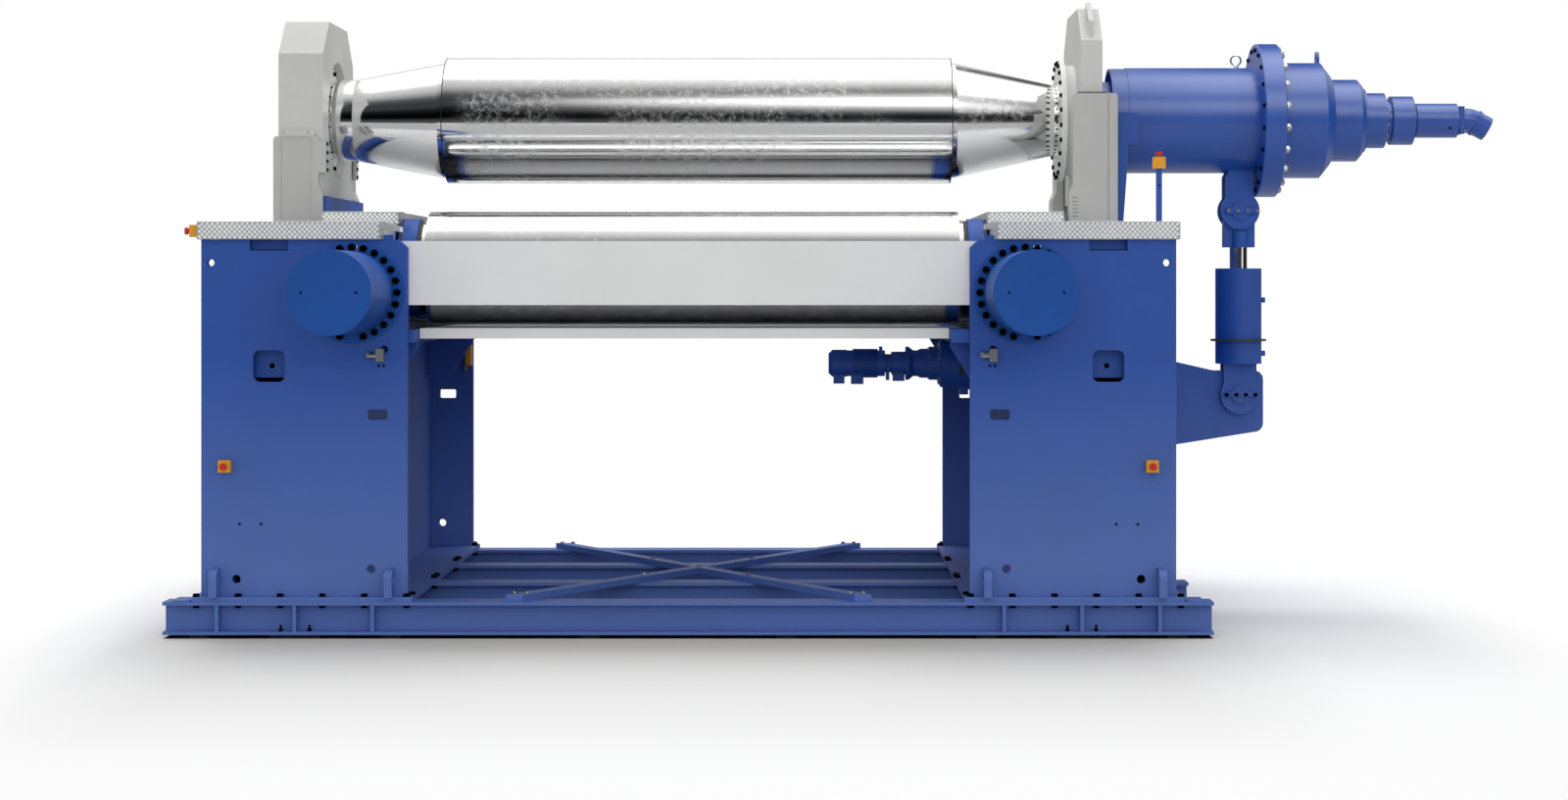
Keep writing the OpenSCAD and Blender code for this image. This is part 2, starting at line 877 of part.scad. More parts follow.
// A flange ring with a smaller spigot back to the block
module cover_right() {
    color("white") translate([0, 0, top_z]) x_turned([
        [cover_right_x[0], cover_bore_r], [cover_right_x[0], cover_right_r],
        [cover_right_x[1], cover_right_r], [cover_right_x[1], spigot_r],
        [block_right[0], spigot_r], [block_right[0], cover_bore_r]
    ]);
}

module torque_tube() {
    inner_r = tube_r - tube_wall;
    first_r = tube_r - tube_step;
    color(blue) translate([0, 0, top_z]) {
        x_turned([
            [tube_in, inner_r], [tube_in, first_r], [tube_seam, first_r], [tube_seam, tube_r],
            [tube_out, tube_r], [tube_out, inner_r]
        ]);
        x_turned([
            [block_right[1], hub_bore_r], [block_right[1], hub_r], [hub_x, hub_r],
            [hub_x, inner_r + eps], [hub_x + hub_t, inner_r + eps], [hub_x + hub_t, hub_bore_r]
        ]);
    }
}

module drive_flange() {
    color(blue) translate([0, 0, top_z]) x_turned([
        [tube_out, 0], [tube_out, drive_flange_r - flange_cut],
        [tube_out + flange_cut, drive_flange_r], [tube_out + flange_t - flange_cut, drive_flange_r],
        [tube_out + flange_t, drive_flange_r - flange_cut], [tube_out + flange_t, 0]
    ]);
}

// Stages of the gearbox, each smaller than the one before, with a lifting eye on top
module gearbox() {
    start = tube_out + flange_t;
    color(blue) translate([0, 0, top_z]) {
        x_turned([
            [start, 0], [start, case_r], [case_end, case_r], [cone_end, cone_r], [cone_end, drum_r],
            [drum_end, drum_r], [drum_end + drum_chamfer[0], drum_r - drum_chamfer[1]],
            [drum_end + drum_chamfer[0], stage_lip_r], [stage_x[0], stage_lip_r],
            [stage_x[0], stage_r], [stage_x[1], stage_r], [stage_x[1], drive_neck_r],
            [neck_end, drive_neck_r], [neck_end, 0]
        ]);
        x_plate(drive_eye_x, drive_eye_x + eye_t) translate([0, case_r]) difference() {
            union() {
                translate([0, drive_eye_r]) circle(drive_eye_r);
                translate([-drive_eye_r, -drive_eye_r]) square([2 * drive_eye_r, 2 * drive_eye_r]);
            }
            translate([0, drive_eye_r]) circle(drive_eye_r / 2);
        }
    }
}

// Hydraulic motor with its coupling and the elbow on its port
module drive_motor() {
    color(blue) translate([0, 0, top_z]) {
        x_turned([
            [neck_end, 0], [neck_end, coupling_r], [coupling_end, coupling_r],
            [coupling_end, motor_gap_r], [motor_x[0], motor_gap_r], [motor_x[0], motor_r],
            [motor_x[1], motor_r], [motor_x[1], elbow_r], [port_plate[0], elbow_r], [port_plate[0], 0]
        ]);
        block([port_plate[0] - eps, -port_plate[2], -port_plate[2]],
              [port_plate[1], port_plate[2], port_plate[2]]);
        x_bar(port_plate[1] - eps, elbow_x, elbow_r);
        x_bar(elbow_x + elbow_collar[0], elbow_x - elbow_collar[0], elbow_r + eps);
        translate([elbow_x, 0, -elbow_bend_r]) {
            rotate([90, 0, 0]) rotate([0, 0, 90 - elbow_turn]) rotate_extrude(angle = elbow_turn)
                translate([elbow_bend_r, 0]) circle(elbow_r);
            rotate([0, elbow_turn, 0]) translate([0, 0, elbow_bend_r]) {
                x_bar(0, elbow_len, elbow_r);
                x_bar(elbow_collar[0], elbow_collar[1], elbow_r + elbow_collar[2]);
            }
        }
    }
}

// Column that stops the torque tube from turning
module torque_leg() {
    color(blue) {
        y_plate(-leg_rear, -leg_front) polygon([
            [guide_out, house_top + leg_foot], [guide_out + leg_w[0], house_top + leg_foot],
            [guide_out + leg_w[1], leg_box[0]], [guide_out, leg_box[0]]
        ]);
        block([guide_out, -leg_rear, leg_box[0] - eps], [leg_box_x, -leg_front, leg_box[1]]);
    }
}

// ---- balance cylinder under the drive ----

// Plate with rounded outer corners that carries the balance cylinder, on a base against the wall
module cylinder_bracket() {
    wall = outer_wall_x + outer_wall_t;
    top = bracket_over[1][1];
    low = bracket_under[0][1];
    color(blue) {
        y_plate(-bracket_half, bracket_half) difference() {
            union() {
                polygon([
                    [wall, bracket_root[0]], bracket_over[0], bracket_over[1],
                    [bracket_end - bracket_round, top], [bracket_end, top - bracket_round],
                    [bracket_end, low + bracket_round], [bracket_end - bracket_round, low],
                    bracket_under[0], bracket_under[1], [wall, bracket_root[1]]
                ]);
                for (z = [top - bracket_round, low + bracket_round])
                    translate([bracket_end - bracket_round, z]) circle(bracket_round);
            }
            translate([balance_x, balance_low_z]) circle(balance_pin_r + run_gap);
        }
        block([wall, -wall_pad_half, wall_pad_z[0]], [wall + wall_pad_t, wall_pad_half, wall_pad_z[1]]);
    }
}

module balance_barrel() {
    color(blue) translate([balance_x, 0, 0]) {
        difference() {
            union() {
                translate([0, 0, barrel_bottom]) cylinder(h = barrel_top - barrel_bottom, r = barrel_r);
                for (z = barrel_ports) translate([0, 0, z]) x_bar(0, barrel_r + port_reach, port_r);
            }
            translate([0, 0, barrel_floor])
                cylinder(h = barrel_top - gland_t - barrel_floor, r = barrel_bore_r);
            translate([0, 0, barrel_top - gland_t - eps])
                cylinder(h = gland_t + 2 * eps, r = rod_small_r + run_gap);
        }
        both_ends() y_plate(low_cheek_y[0], low_cheek_y[1]) {
            translate([0, balance_low_z]) circle(low_cheek_r);
            translate([-low_cheek_half, balance_low_z])
                square([2 * low_cheek_half, barrel_bottom - balance_low_z + eps]);
        }
        translate([0, 0, balance_low_z])
            y_bar(-low_cheek_y[1] - pin_end, low_cheek_y[1] + pin_end, balance_pin_r);
    }
}

// Rubber ring that guards the foot of the barrel
module barrel_ring() {
    color(dark) translate([balance_x, 0, ring_z[0]]) difference() {
        cylinder(h = ring_z[1] - ring_z[0], r = ring_r);
        translate([0, 0, -eps]) cylinder(h = ring_z[1] - ring_z[0] + 2 * eps, r = barrel_r);
    }
}

module balance_rod() {
    color(steel) translate([balance_x, 0, 0]) {
        translate([0, 0, piston_small_z[1] - eps])
            cylinder(h = head_z[0] - piston_small_z[1] + eps, r = rod_small_r);
        translate([0, 0, piston_small_z[0]])
            cylinder(h = piston_small_z[1] - piston_small_z[0], r = barrel_bore_r - run_gap);
    }
}

// Eye end on the rod: a block with half-round bosses and the eye round the upper pin
module balance_rod_head() {
    color(blue) translate([balance_x, 0, 0]) {
        block([-head_half, -head_depth, head_z[0]], [head_half, head_depth, head_z[1]]);
        for (y = [-head_depth, head_depth]) translate([0, y, head_z[0]])
            cylinder(h = head_boss_h, r = head_boss_r);
        y_plate(-head_depth, head_depth) {
            translate([0, balance_top_z]) circle(head_half);
            translate([-head_half, head_z[1] - eps])
                square([2 * head_half, balance_top_z - head_z[1] + eps]);
        }
    }
}

// Two cheeks under the drive with the upper pin through them
module balance_clevis() {
    color(blue) {
        difference() {
            both_ends() y_plate(cheek_y[0], cheek_y[1]) translate([balance_x, 0]) {
                translate([0, balance_top_z]) circle(cheek_r);
                polygon([
                    [cheek_x[0], balance_top_z], [cheek_x[1], balance_top_z], [cheek_x[1], cheek_top],
                    [cheek_x[0] + cheek_cut[0], cheek_top], [cheek_x[0], cheek_top - cheek_cut[1]]
                ]);
            }
            translate([0, 0, top_z]) x_bar(tube_in, tube_out + 1, tube_r);
        }
        both_ends() translate([balance_x, 0, balance_top_z])
            y_bar(cheek_y[1] - eps, cheek_y[1] + pin_end, balance_pin_r);
    }
}

// ---- side drive ----

// Gearmotor between the housings, turned about its own axis and bolted to the right inner wall
module side_drive() {
    color(blue) translate([0, 0, side_drive_z]) {
        x_turned([
            [fan_x[0], 0], [fan_x[0], fan_edge_r], [fan_x[1], fan_r], [fan_x[2], fan_r],
            [fan_x[2], side_motor_r], [side_motor_end, side_motor_r], [side_motor_end, brake_gap_r],
            [brake_x[0], brake_gap_r], [brake_x[0], brake_r], [brake_x[1], brake_r],
            [brake_x[1], lug_ring_r], [brake_x[1] + lug_ring_t, lug_ring_r],
            [side_taper[0], side_motor_r], [side_taper[1], side_motor_r],
            [side_taper[2], side_case_r], [side_flange_x[0], side_case_r],
            [side_flange_x[0], lug_ring_r], [side_flange_x[1], lug_ring_r],
            [side_drum_x - side_drum_cut[0], side_drum_r - side_drum_cut[1]],
            [side_drum_x, side_drum_r], [inner_wall_x, side_drum_r], [inner_wall_x, 0]
        ]);
        for (lug = side_lugs) block([lug[0], -side_lug_half, min(0, lug[2] * lug_ring_r)],
                                    [lug[1], side_lug_half, max(0, lug[2] * lug_ring_r)]);
        for (box = side_boxes) block([box[0], -box[2], -box[3]], [box[1], box[2], -side_box_top]);
    }
}

// ---- operator's parts ----

module stop_boxes() {
    h = stop_half;
    color(yellow) {
        both_sides() block([stop_x - h, -half_depth - stop_depth, stop_z - h],
                           [stop_x + h, -half_depth, stop_z + h]);
        on_side(-1) block([deck_out, deck_stop_y - h, deck_stop_z - h],
                          [deck_out + stop_depth, deck_stop_y + h, deck_stop_z + h]);
        block([post_x - h, post_y - h, post_top], [post_x + h, post_y + h, post_top + post_box_h]);
        on_side(-1) block([inner_box_x[0], plate_inner_y - inner_box_depth, inner_box_z[0]],
                          [inner_box_x[1], plate_inner_y, inner_box_z[1]]);
    }
}

// A mushroom button standing up from the origin
module stop_button() {
    cylinder(h = knob_h[0], r = knob_r[0]);
    translate([0, 0, knob_h[0] - eps]) cylinder(h = knob_h[1], r = knob_r[1]);
}

module stop_buttons() {
    color("red") {
        both_sides() translate([stop_x, -half_depth - stop_depth, stop_z])
            rotate([90, 0, 0]) stop_button();
        on_side(-1) translate([deck_out + stop_depth, deck_stop_y, deck_stop_z])
            rotate([0, 90, 0]) stop_button();
        translate([post_x, post_y, post_top + post_box_h]) stop_button();
    }
}

module stop_post() {
    color(blue) translate([post_x, post_y, deck_top]) {
        block([-post_foot[0], -post_foot[1], 0], [post_foot[0], post_foot[1], sheet_t]);
        block([-post_half, -post_half, sheet_t - eps], [post_half, post_half, post_top - deck_top]);
    }
}

// Position switches on the front and rear plates, all pointing the same way
module feed_sensors() {
    color(grey) both_ends() for (x = sensor_x) {
        block([x, half_depth, sensor_z[0]], [x + sensor_w, half_depth + sensor_depth, sensor_z[1]]);
        translate([0, half_depth + sensor_depth / 2, (sensor_z[0] + sensor_z[1]) / 2])
            x_bar(x - sensor_stub, x + eps, sensor_stub_r);
    }
}

base_beams();
levelling_pads();
brace(1, beam_top + brace_t / 2);  // brace_rising
brace(-1, beam_top - brace_t / 2);  // brace_falling
foot_plate(-1);  // foot_plate_left
foot_plate(1);  // foot_plate_right
end_plate(-1, -1);  // front_plate_left
end_plate(1, -1);  // front_plate_right
end_plate(-1, 1);  // rear_plate_left
end_plate(1, 1);  // rear_plate_right
inner_wall(-1);  // inner_wall_left
inner_wall(1);  // inner_wall_right
housing_web(-1);  // housing_web_left
housing_web(1);  // housing_web_right
outer_wall(-1);  // outer_wall_left
outer_wall(1);  // outer_wall_right
slide_table(-1, table_in[0]);  // slide_table_left
slide_table(1, table_in[1]);  // slide_table_right
slide_rails(-1);  // slide_rails_left
slide_rails(1);  // slide_rails_right
deck_left();
deck_right();
guides_left();
guides_right();
guide_sill();
feed_cylinders(-1);  // front_cylinders
feed_cylinders(1);  // rear_cylinders
cross_beam(-1);  // front_beam
cross_beam(1);  // rear_beam
catch_tray();
side_drive();
cylinder_bracket();
balance_barrel();
barrel_ring();
balance_rod();
balance_rod_head();
balance_clevis();
top_roll();
top_block_left();
top_block_right();
cover_left();  // bearing_cover_left
cover_right();  // bearing_cover_right
torque_tube();
drive_flange();
gearbox();
drive_motor();
torque_leg();
side_roll(-1);  // front_roll
side_roll(1);  // rear_roll
side_blocks(-1);  // front_blocks
side_blocks(1);  // rear_blocks
bearing_rings(-1);  // front_bearing_rings
bearing_rings(1);  // rear_bearing_rings
feed_rods(-1);  // front_feed_rods
feed_rods(1);  // rear_feed_rods
stop_boxes();
stop_buttons();
stop_post();
feed_sensors();
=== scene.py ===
# Three-roll plate rolling machine: finishes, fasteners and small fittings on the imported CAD
# solids, and a plain studio. The frame is the CAD's: X along the rolls to the drive, Z up.
# Pieces are sized in mm, and the studio in metres.
import json
import math

import bmesh
import bpy
from mathutils import Matrix, Vector


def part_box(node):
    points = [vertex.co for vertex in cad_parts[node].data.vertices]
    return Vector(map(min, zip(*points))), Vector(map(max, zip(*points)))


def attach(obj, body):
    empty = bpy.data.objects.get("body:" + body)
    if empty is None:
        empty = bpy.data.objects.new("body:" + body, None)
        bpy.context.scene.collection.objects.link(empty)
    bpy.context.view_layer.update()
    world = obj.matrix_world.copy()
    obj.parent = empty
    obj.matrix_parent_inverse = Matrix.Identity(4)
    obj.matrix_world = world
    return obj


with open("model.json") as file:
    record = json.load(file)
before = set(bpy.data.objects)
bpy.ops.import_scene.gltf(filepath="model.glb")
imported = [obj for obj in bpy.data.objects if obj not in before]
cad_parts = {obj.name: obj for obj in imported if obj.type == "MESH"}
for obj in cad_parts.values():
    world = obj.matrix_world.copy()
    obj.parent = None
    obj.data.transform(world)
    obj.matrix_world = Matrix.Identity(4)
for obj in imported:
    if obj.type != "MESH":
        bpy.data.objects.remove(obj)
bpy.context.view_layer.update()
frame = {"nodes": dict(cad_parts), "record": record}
nodes = frame["nodes"]
print("frame loaded")


def hexColour(text, gain=1.0):
    # sRGB hex to the linear values of shaders; a gain above 1 is brighter than white
    parts = [int(text[i:i + 2], 16) / 255 for i in (1, 3, 5)]
    linear = [c / 12.92 if c <= 0.04045 else ((c + 0.055) / 1.055) ** 2.4 for c in parts]
    return (*(gain * c for c in linear), 1.0)


def addNode(tree, kind, links=None, **settings):
    # settings go to the node's properties or, as in_NAME, to its inputs; links feed its inputs
    node = tree.nodes.new(kind)
    for key, value in settings.items():
        if key.startswith("in_"):
            socket = key[3:]
            socket = int(socket) if socket.isdigit() else socket.replace("_", " ")
            node.inputs[socket].default_value = value
        else:
            setattr(node, key, value)
    for socket, source in (links or {}).items():
        tree.links.new(source, node.inputs[socket])
    return node


def fed(first, values):
    # sorts values for the inputs from first on into outputs to link and constants to set
    linked = {i: value for i, value in enumerate(values, first)
              if isinstance(value, bpy.types.NodeSocket)}
    return linked, {f"in_{i}": value for i, value in enumerate(values, first) if i not in linked}


def maths(tree, operation, *values):
    links, constants = fed(0, values)
    return addNode(tree, "ShaderNodeMath", links, operation=operation, **constants).outputs[0]


def mixColours(tree, factor, under, over, blend="MIX"):
    links, constants = fed(6, (under, over))
    links["Factor"] = factor
    return addNode(tree, "ShaderNodeMix", links, data_type="RGBA", blend_type=blend,
                   **constants).outputs[2]


def mapRange(tree, source, low, high, toLow=0.0, toHigh=1.0):
    return addNode(tree, "ShaderNodeMapRange", {"Value": source},
                   in_1=low, in_2=high, in_3=toLow, in_4=toHigh).outputs[0]


def addNoise(tree, place, scale, detail=2.0, roughness=0.5):
    return addNode(tree, "ShaderNodeTexNoise", {"Vector": place},
                   in_Scale=scale, in_Detail=detail, in_Roughness=roughness).outputs["Fac"]


def colourRamp(tree, source, stops):
    ramp = addNode(tree, "ShaderNodeValToRGB", {"Fac": source})
    elements = ramp.color_ramp.elements
    while len(elements) < len(stops):
        elements.new(0.5)
    for element, (position, colour) in zip(elements, stops):
        element.position = position
        element.color = colour
    return ramp.outputs["Color"]


def addBump(tree, shader, height, strength, distance):
    bump = addNode(tree, "ShaderNodeBump", {"Height": height},
                   in_Strength=strength, in_Distance=distance)
    tree.links.new(bump.outputs["Normal"], shader.inputs["Normal"])


def emptyMaterial(name):
    material = bpy.data.materials.new(name)
    material.use_nodes = True
    material.node_tree.nodes.clear()
    return material, material.node_tree


def objectPlace(tree):
    # where a point is, in metres
    return addNode(tree, "ShaderNodeTexCoord").outputs["Object"]


def splitPlace(tree, place):
    return addNode(tree, "ShaderNodeSeparateXYZ", {0: place}).outputs


def shaderOut(tree, shader):
    addNode(tree, "ShaderNodeOutputMaterial", {"Surface": shader.outputs[0]})


def newMaterial(name):
    material, tree = emptyMaterial(name)
    shader = addNode(tree, "ShaderNodeBsdfPrincipled")
    shaderOut(tree, shader)
    return material, tree, shader, objectPlace(tree)


# painted sheen: paler blue from a height of 1.7 m, growing down to 0.4 m, where it makes up 0.17
# of the paint's colour
lowSheen = {"range": (1.7, 0.4, 0.0, 0.17), "colour": "#aac2f1"}


def paintedLowSheen(tree, place, painted):
    amount = mapRange(tree, splitPlace(tree, place)["Z"], *lowSheen["range"])
    return mixColours(tree, amount, painted, hexColour(lowSheen["colour"]))


# painted shade on the tray's flat top, in dark patches by metres from the middle: it thins out
# over one range, and is lighter in part over the other
trayShade = {"above": 1.882, "thinning": (1.56, 1.0), "lighter": (0.4, 0.75), "lighterCover": 0.5,
            "ragged": 0.2, "patches": 9.0, "colour": "#56575b"}


def paintedTrayShade(tree, place, painted):
    parts = splitPlace(tree, place)
    onTop = maths(tree, "GREATER_THAN", parts["Z"], trayShade["above"])
    reach = maths(tree, "ABSOLUTE", parts["Y"])
    edge = maths(tree, "MULTIPLY_ADD", addNoise(tree, place, trayShade["patches"], 5.0),
                 trayShade["ragged"], reach)
    depth = mapRange(tree, edge, *trayShade["thinning"])
    lighter = mapRange(tree, edge, *trayShade["lighter"], trayShade["lighterCover"], 1.0)
    cover = maths(tree, "MULTIPLY", maths(tree, "MULTIPLY", onTop, depth), lighter)
    return mixColours(tree, cover, painted, hexColour(trayShade["colour"]))


# patches of thinner paint, fine specks of dust, and orange peel
enamel = {"patchMm": 700, "patchRange": (0.32, 0.6), "specks": 60.0,
          "speckRange": (0.3, 0.75, 0.0, 0.07), "glossSpread": 0.04, "peelMm": 7,
          "strength": 0.05, "depth": 0.0012}


def paintMaterial(name, base, worn, roughness, dust=None, specular=0.5, cover=None):
    # sprayed two-pack enamel on steel plate: satin, with a faint orange peel that softens
    # reflections, slow changes of tone where the coat is thin or dusty, and a cover that paints
    # on sheen low down on the blue and shade on the tray
    material, tree, shader, place = newMaterial(name)
    shader.inputs["Specular IOR Level"].default_value = specular
    patches = addNoise(tree, place, 1000 / enamel["patchMm"], 6.0, 0.6)
    thin, full = enamel["patchRange"]
    coat = colourRamp(tree, patches, [(thin, hexColour(worn)), (full, hexColour(base))])
    specks = mapRange(tree, addNoise(tree, place, enamel["specks"], 3.0), *enamel["speckRange"])
    finished = mixColours(tree, specks, coat, hexColour(dust or worn))
    if cover:
        finished = cover(tree, place, finished)
    tree.links.new(finished, shader.inputs["Base Color"])
    spread = enamel["glossSpread"]
    gloss = mapRange(tree, patches, 0.0, 1.0, roughness + spread, roughness - spread)
    tree.links.new(gloss, shader.inputs["Roughness"])
    peel = addNoise(tree, place, 1000 / enamel["peelMm"])
    addBump(tree, shader, peel, enamel["strength"], enamel["depth"])
    return material


# cloudy specks within slow patches dull the mirror; ringsScale draws noise out into fine rings
polish = {"specks": (24.0, 9.0, 0.78), "speckRange": (0.42, 0.6), "patches": (1.6, 3.0),
          "patchRange": (0.38, 0.56), "roughness": (0.06, 0.3), "ringsScale": (240.0, 1.2, 1.2),
          "strength": 0.02, "depth": 0.0006, "colour": "#f4f4f4"}


def rollMaterial(name):
    # forged steel, ground and polished: a mirror with faint grinding rings round the roll,
    # and soft cloudy patches where plates have rubbed it and oil has dried
    material, tree, shader, place = newMaterial(name)
    shader.inputs["Metallic"].default_value = 1.0
    shader.inputs["Base Color"].default_value = hexColour(polish["colour"])
    specks = mapRange(tree, addNoise(tree, place, *polish["specks"]), *polish["speckRange"])
    mask = mapRange(tree, addNoise(tree, place, *polish["patches"]), *polish["patchRange"])
    dull = maths(tree, "MULTIPLY", mask, specks)
    rough = mapRange(tree, dull, 0.0, 1.0, *polish["roughness"])
    tree.links.new(rough, shader.inputs["Roughness"])
    rings = addNode(tree, "ShaderNodeMapping", {"Vector": place}, in_Scale=polish["ringsScale"])
    marks = addNoise(tree, rings.outputs[0], 1.0, 3.0)
    addBump(tree, shader, marks, polish["strength"], polish["depth"])
    return material


toneRange = (0.3, 0.7)
grain = {"sizeMm": 3, "range": (0.25, 0.75), "smoother": 0.05, "rougher": 0.08,
         "strength": 0.05, "depth": 0.0004}


def twoTones(tree, noise, first, second):
    return colourRamp(tree, noise, list(zip(toneRange, map(hexColour, (first, second)))))


def metalMaterial(name, dark, light, roughness, patchMm=60, metallic=1.0):
    # machined, plated or rolled metal: uneven in tone, with a fine grain in its gloss
    material, tree, shader, place = newMaterial(name)
    shader.inputs["Metallic"].default_value = metallic
    tone = addNoise(tree, place, 1000 / patchMm, 5.0)
    colour = twoTones(tree, tone, dark, light)
    tree.links.new(colour, shader.inputs["Base Color"])
    grains = addNoise(tree, place, 1000 / grain["sizeMm"])
    rough = mapRange(tree, grains, *grain["range"],
                     roughness - grain["smoother"], roughness + grain["rougher"])
    tree.links.new(rough, shader.inputs["Roughness"])
    addBump(tree, shader, grains, grain["strength"], grain["depth"])
    return material


moulding = {"patches": 40.0, "glossSpread": 0.05, "grains": 900.0,
            "strength": 0.1, "depth": 0.0005}


def plasticMaterial(name, base, worn, roughness):
    # moulded plastic with a fine spark-eroded grain, a little uneven in tone
    material, tree, shader, place = newMaterial(name)
    tone = addNoise(tree, place, moulding["patches"], 4.0)
    colour = twoTones(tree, tone, worn, base)
    tree.links.new(colour, shader.inputs["Base Color"])
    spread = moulding["glossSpread"]
    tree.links.new(mapRange(tree, tone, 0.0, 1.0, roughness + spread, roughness - spread),
                   shader.inputs["Roughness"])
    grains = addNoise(tree, place, moulding["grains"])
    addBump(tree, shader, grains, moulding["strength"], moulding["depth"])
    return material


materials = {material.name: material for material in (
    # the blue enamel has painted sheen, paler towards the floor
    paintMaterial("blueEnamel", "#154ca7", "#13489d", 0.5, dust="#3460ae", specular=0.6,
                  cover=paintedLowSheen),
    paintMaterial("driveEnamel", "#154ca7", "#13489d", 0.3, dust="#3460ae", specular=1.0),
    paintMaterial("cylinderEnamel", "#184d9d", "#164993", 0.5, specular=0.2),
    paintMaterial("greyEnamel", "#c8c9c7", "#c1c2c0", 0.42, dust="#d2d3d1"),
    paintMaterial("paleEnamel", "#e9e9e9", "#e3e3e3", 0.42, dust="#d9d9d9"),
    # the tray's flat top has painted shade
    paintMaterial("trayEnamel", "#e9e9e9", "#e3e3e3", 0.42, dust="#d9d9d9", cover=paintedTrayShade),
    paintMaterial("guideEnamel", "#b6b7b5", "#adaeac", 0.45, dust="#c2c3c1"),
    paintMaterial("whiteEnamel", "#f2f2f1", "#e8e8e6", 0.3),
    rollMaterial("polishedRoll"),
    metalMaterial("chromedRod", "#d8dadc", "#f0f1f1", 0.09),
    metalMaterial("treadAluminium", "#a8aaac", "#b6b8b9", 0.42, patchMm=140, metallic=0.2),
    # the tread's raised bars are whiter than the plate they are pressed in: painted highlight
    metalMaterial("treadBars", "#fbfbfb", "#ffffff", 0.34, patchMm=140, metallic=0.05),
    metalMaterial("blackenedSteel", "#2e3033", "#44464a", 0.45),
    metalMaterial("blackOxide", "#08080a", "#101113", 0.55, patchMm=8),
    metalMaterial("zincPlate", "#b4b6b6", "#d6d7d6", 0.26, patchMm=8),
    plasticMaterial("yellowPlastic", "#e6a21c", "#d99412", 0.4),
    plasticMaterial("redPlastic", "#c8301f", "#b92818", 0.32),
    plasticMaterial("castGrey", "#77797a", "#6b6d6e", 0.5),
    plasticMaterial("sealRubber", "#3c3d3a", "#33342f", 0.55),
)}
slotFinish = {
    "blue_paint": "blueEnamel", "grey_paint": "greyEnamel", "light_grey_paint": "paleEnamel",
    "white_paint": "whiteEnamel", "roll_steel": "polishedRoll", "chrome_rod": "chromedRod",
    "tread_plate": "treadAluminium", "dark_steel": "blackenedSteel", "rubber": "sealRubber",
    "yellow_box": "yellowPlastic", "red_button": "redPlastic", "sensor_grey": "castGrey",
}
# nodes whose paint differs from the rest of their slot
nodeFinish = {
    "guides_left": "guideEnamel", "guides_right": "guideEnamel", "torque_tube": "driveEnamel",
    "drive_flange": "driveEnamel", "gearbox": "driveEnamel", "drive_motor": "driveEnamel",
    "catch_tray": "trayEnamel", "front_cylinders": "cylinderEnamel",
    "rear_cylinders": "cylinderEnamel",
}
for part in frame["record"]["subparts"]:
    mesh = nodes[part["node"]].data
    mesh.materials.clear()
    finish = nodeFinish.get(part["node"], slotFinish[part["material_slot"]])
    mesh.materials.append(materials[finish])
print("materials ready")

finishSlot = {finish: slotName for slotName, finish in slotFinish.items()}
finishSlot.update(blackOxide="dark_steel", zincPlate="chrome_rod", treadBars="tread_plate")


def at(x, y, z):
    # millimetres in, metres out
    return Vector((x, y, z)) / 1000


def along(axis, x, y, z):
    # a frame at a point in mm whose Z looks along the axis
    turn = Vector(axis).to_track_quat("Z", "Y").to_matrix().to_4x4()
    return Matrix.Translation(at(x, y, z)) @ turn


def meshFrom(shape, sharpDegrees=35):
    # closes a bmesh into a mesh with outward faces, smooth but for its real edges
    bmesh.ops.recalc_face_normals(shape, faces=shape.faces)
    for face in shape.faces:
        face.smooth = True
    limit = math.radians(sharpDegrees)
    for edge in shape.edges:
        edge.smooth = len(edge.link_faces) == 2 and edge.calc_face_angle() < limit
    return rawMesh("part", shape)


def rawMesh(name, shape):
    mesh = bpy.data.meshes.new(name)
    shape.to_mesh(mesh)
    shape.free()
    return mesh


def turned(profile, segments=24, place=None):
    # profile of (radius, height, sides) in mm about Z; 6 sides give a hexagon, 0 a circle
    shape = bmesh.new()
    rings = []
    for radius, height, sides in profile:
        ring = []
        for i in range(segments if radius else 1):
            angle = 2 * math.pi * i / segments
            reach = radius
            if sides:
                half = math.pi / sides
                reach = radius * math.cos(half) / math.cos(angle % (2 * half) - half)
            spot = at(reach * math.cos(angle), reach * math.sin(angle), height)
            ring.append(shape.verts.new(spot))
        rings.append(ring)
    for low, high in zip(rings, rings[1:]):
        for i in range(segments):
            j = (i + 1) % segments
            corners = [low[i % len(low)], low[j % len(low)],
                       high[j % len(high)], high[i % len(high)]]
            shape.faces.new(list(dict.fromkeys(corners)))
    if place is not None:
        shape.transform(place)
    return meshFrom(shape)


def addTurned(shape, profile, segments, place):
    # a turned part, added to a bmesh
    ring = turned(profile, segments, place)
    shape.from_mesh(ring)
    bpy.data.meshes.remove(ring)


def addBlock(shape, low, high, bevelMm):
    # a plate or block with broken edges, added to a bmesh
    made = bmesh.ops.create_cube(shape, size=1.0)["verts"]
    size = Vector(high) - Vector(low)
    middle = (Vector(high) + Vector(low)) / 2
    for vert in made:
        vert.co = at(*(middle[i] + vert.co[i] * size[i] for i in range(3)))
    edges = list({edge for vert in made for edge in vert.link_edges})
    bmesh.ops.bevel(shape, geom=edges, offset=bevelMm / 1000, segments=2, affect="EDGES",
                    profile=0.5)


def newObject(name, data):
    thing = bpy.data.objects.new(name, data)
    bpy.context.scene.collection.objects.link(thing)
    return thing


def addPiece(name, mesh, finish, body):
    # a finished piece: its place is in its mesh, and it moves with a CAD body
    mesh.name = name
    if not mesh.materials:
        mesh.materials.append(materials[finish])
    piece = newObject(name, mesh)
    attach(piece, body)


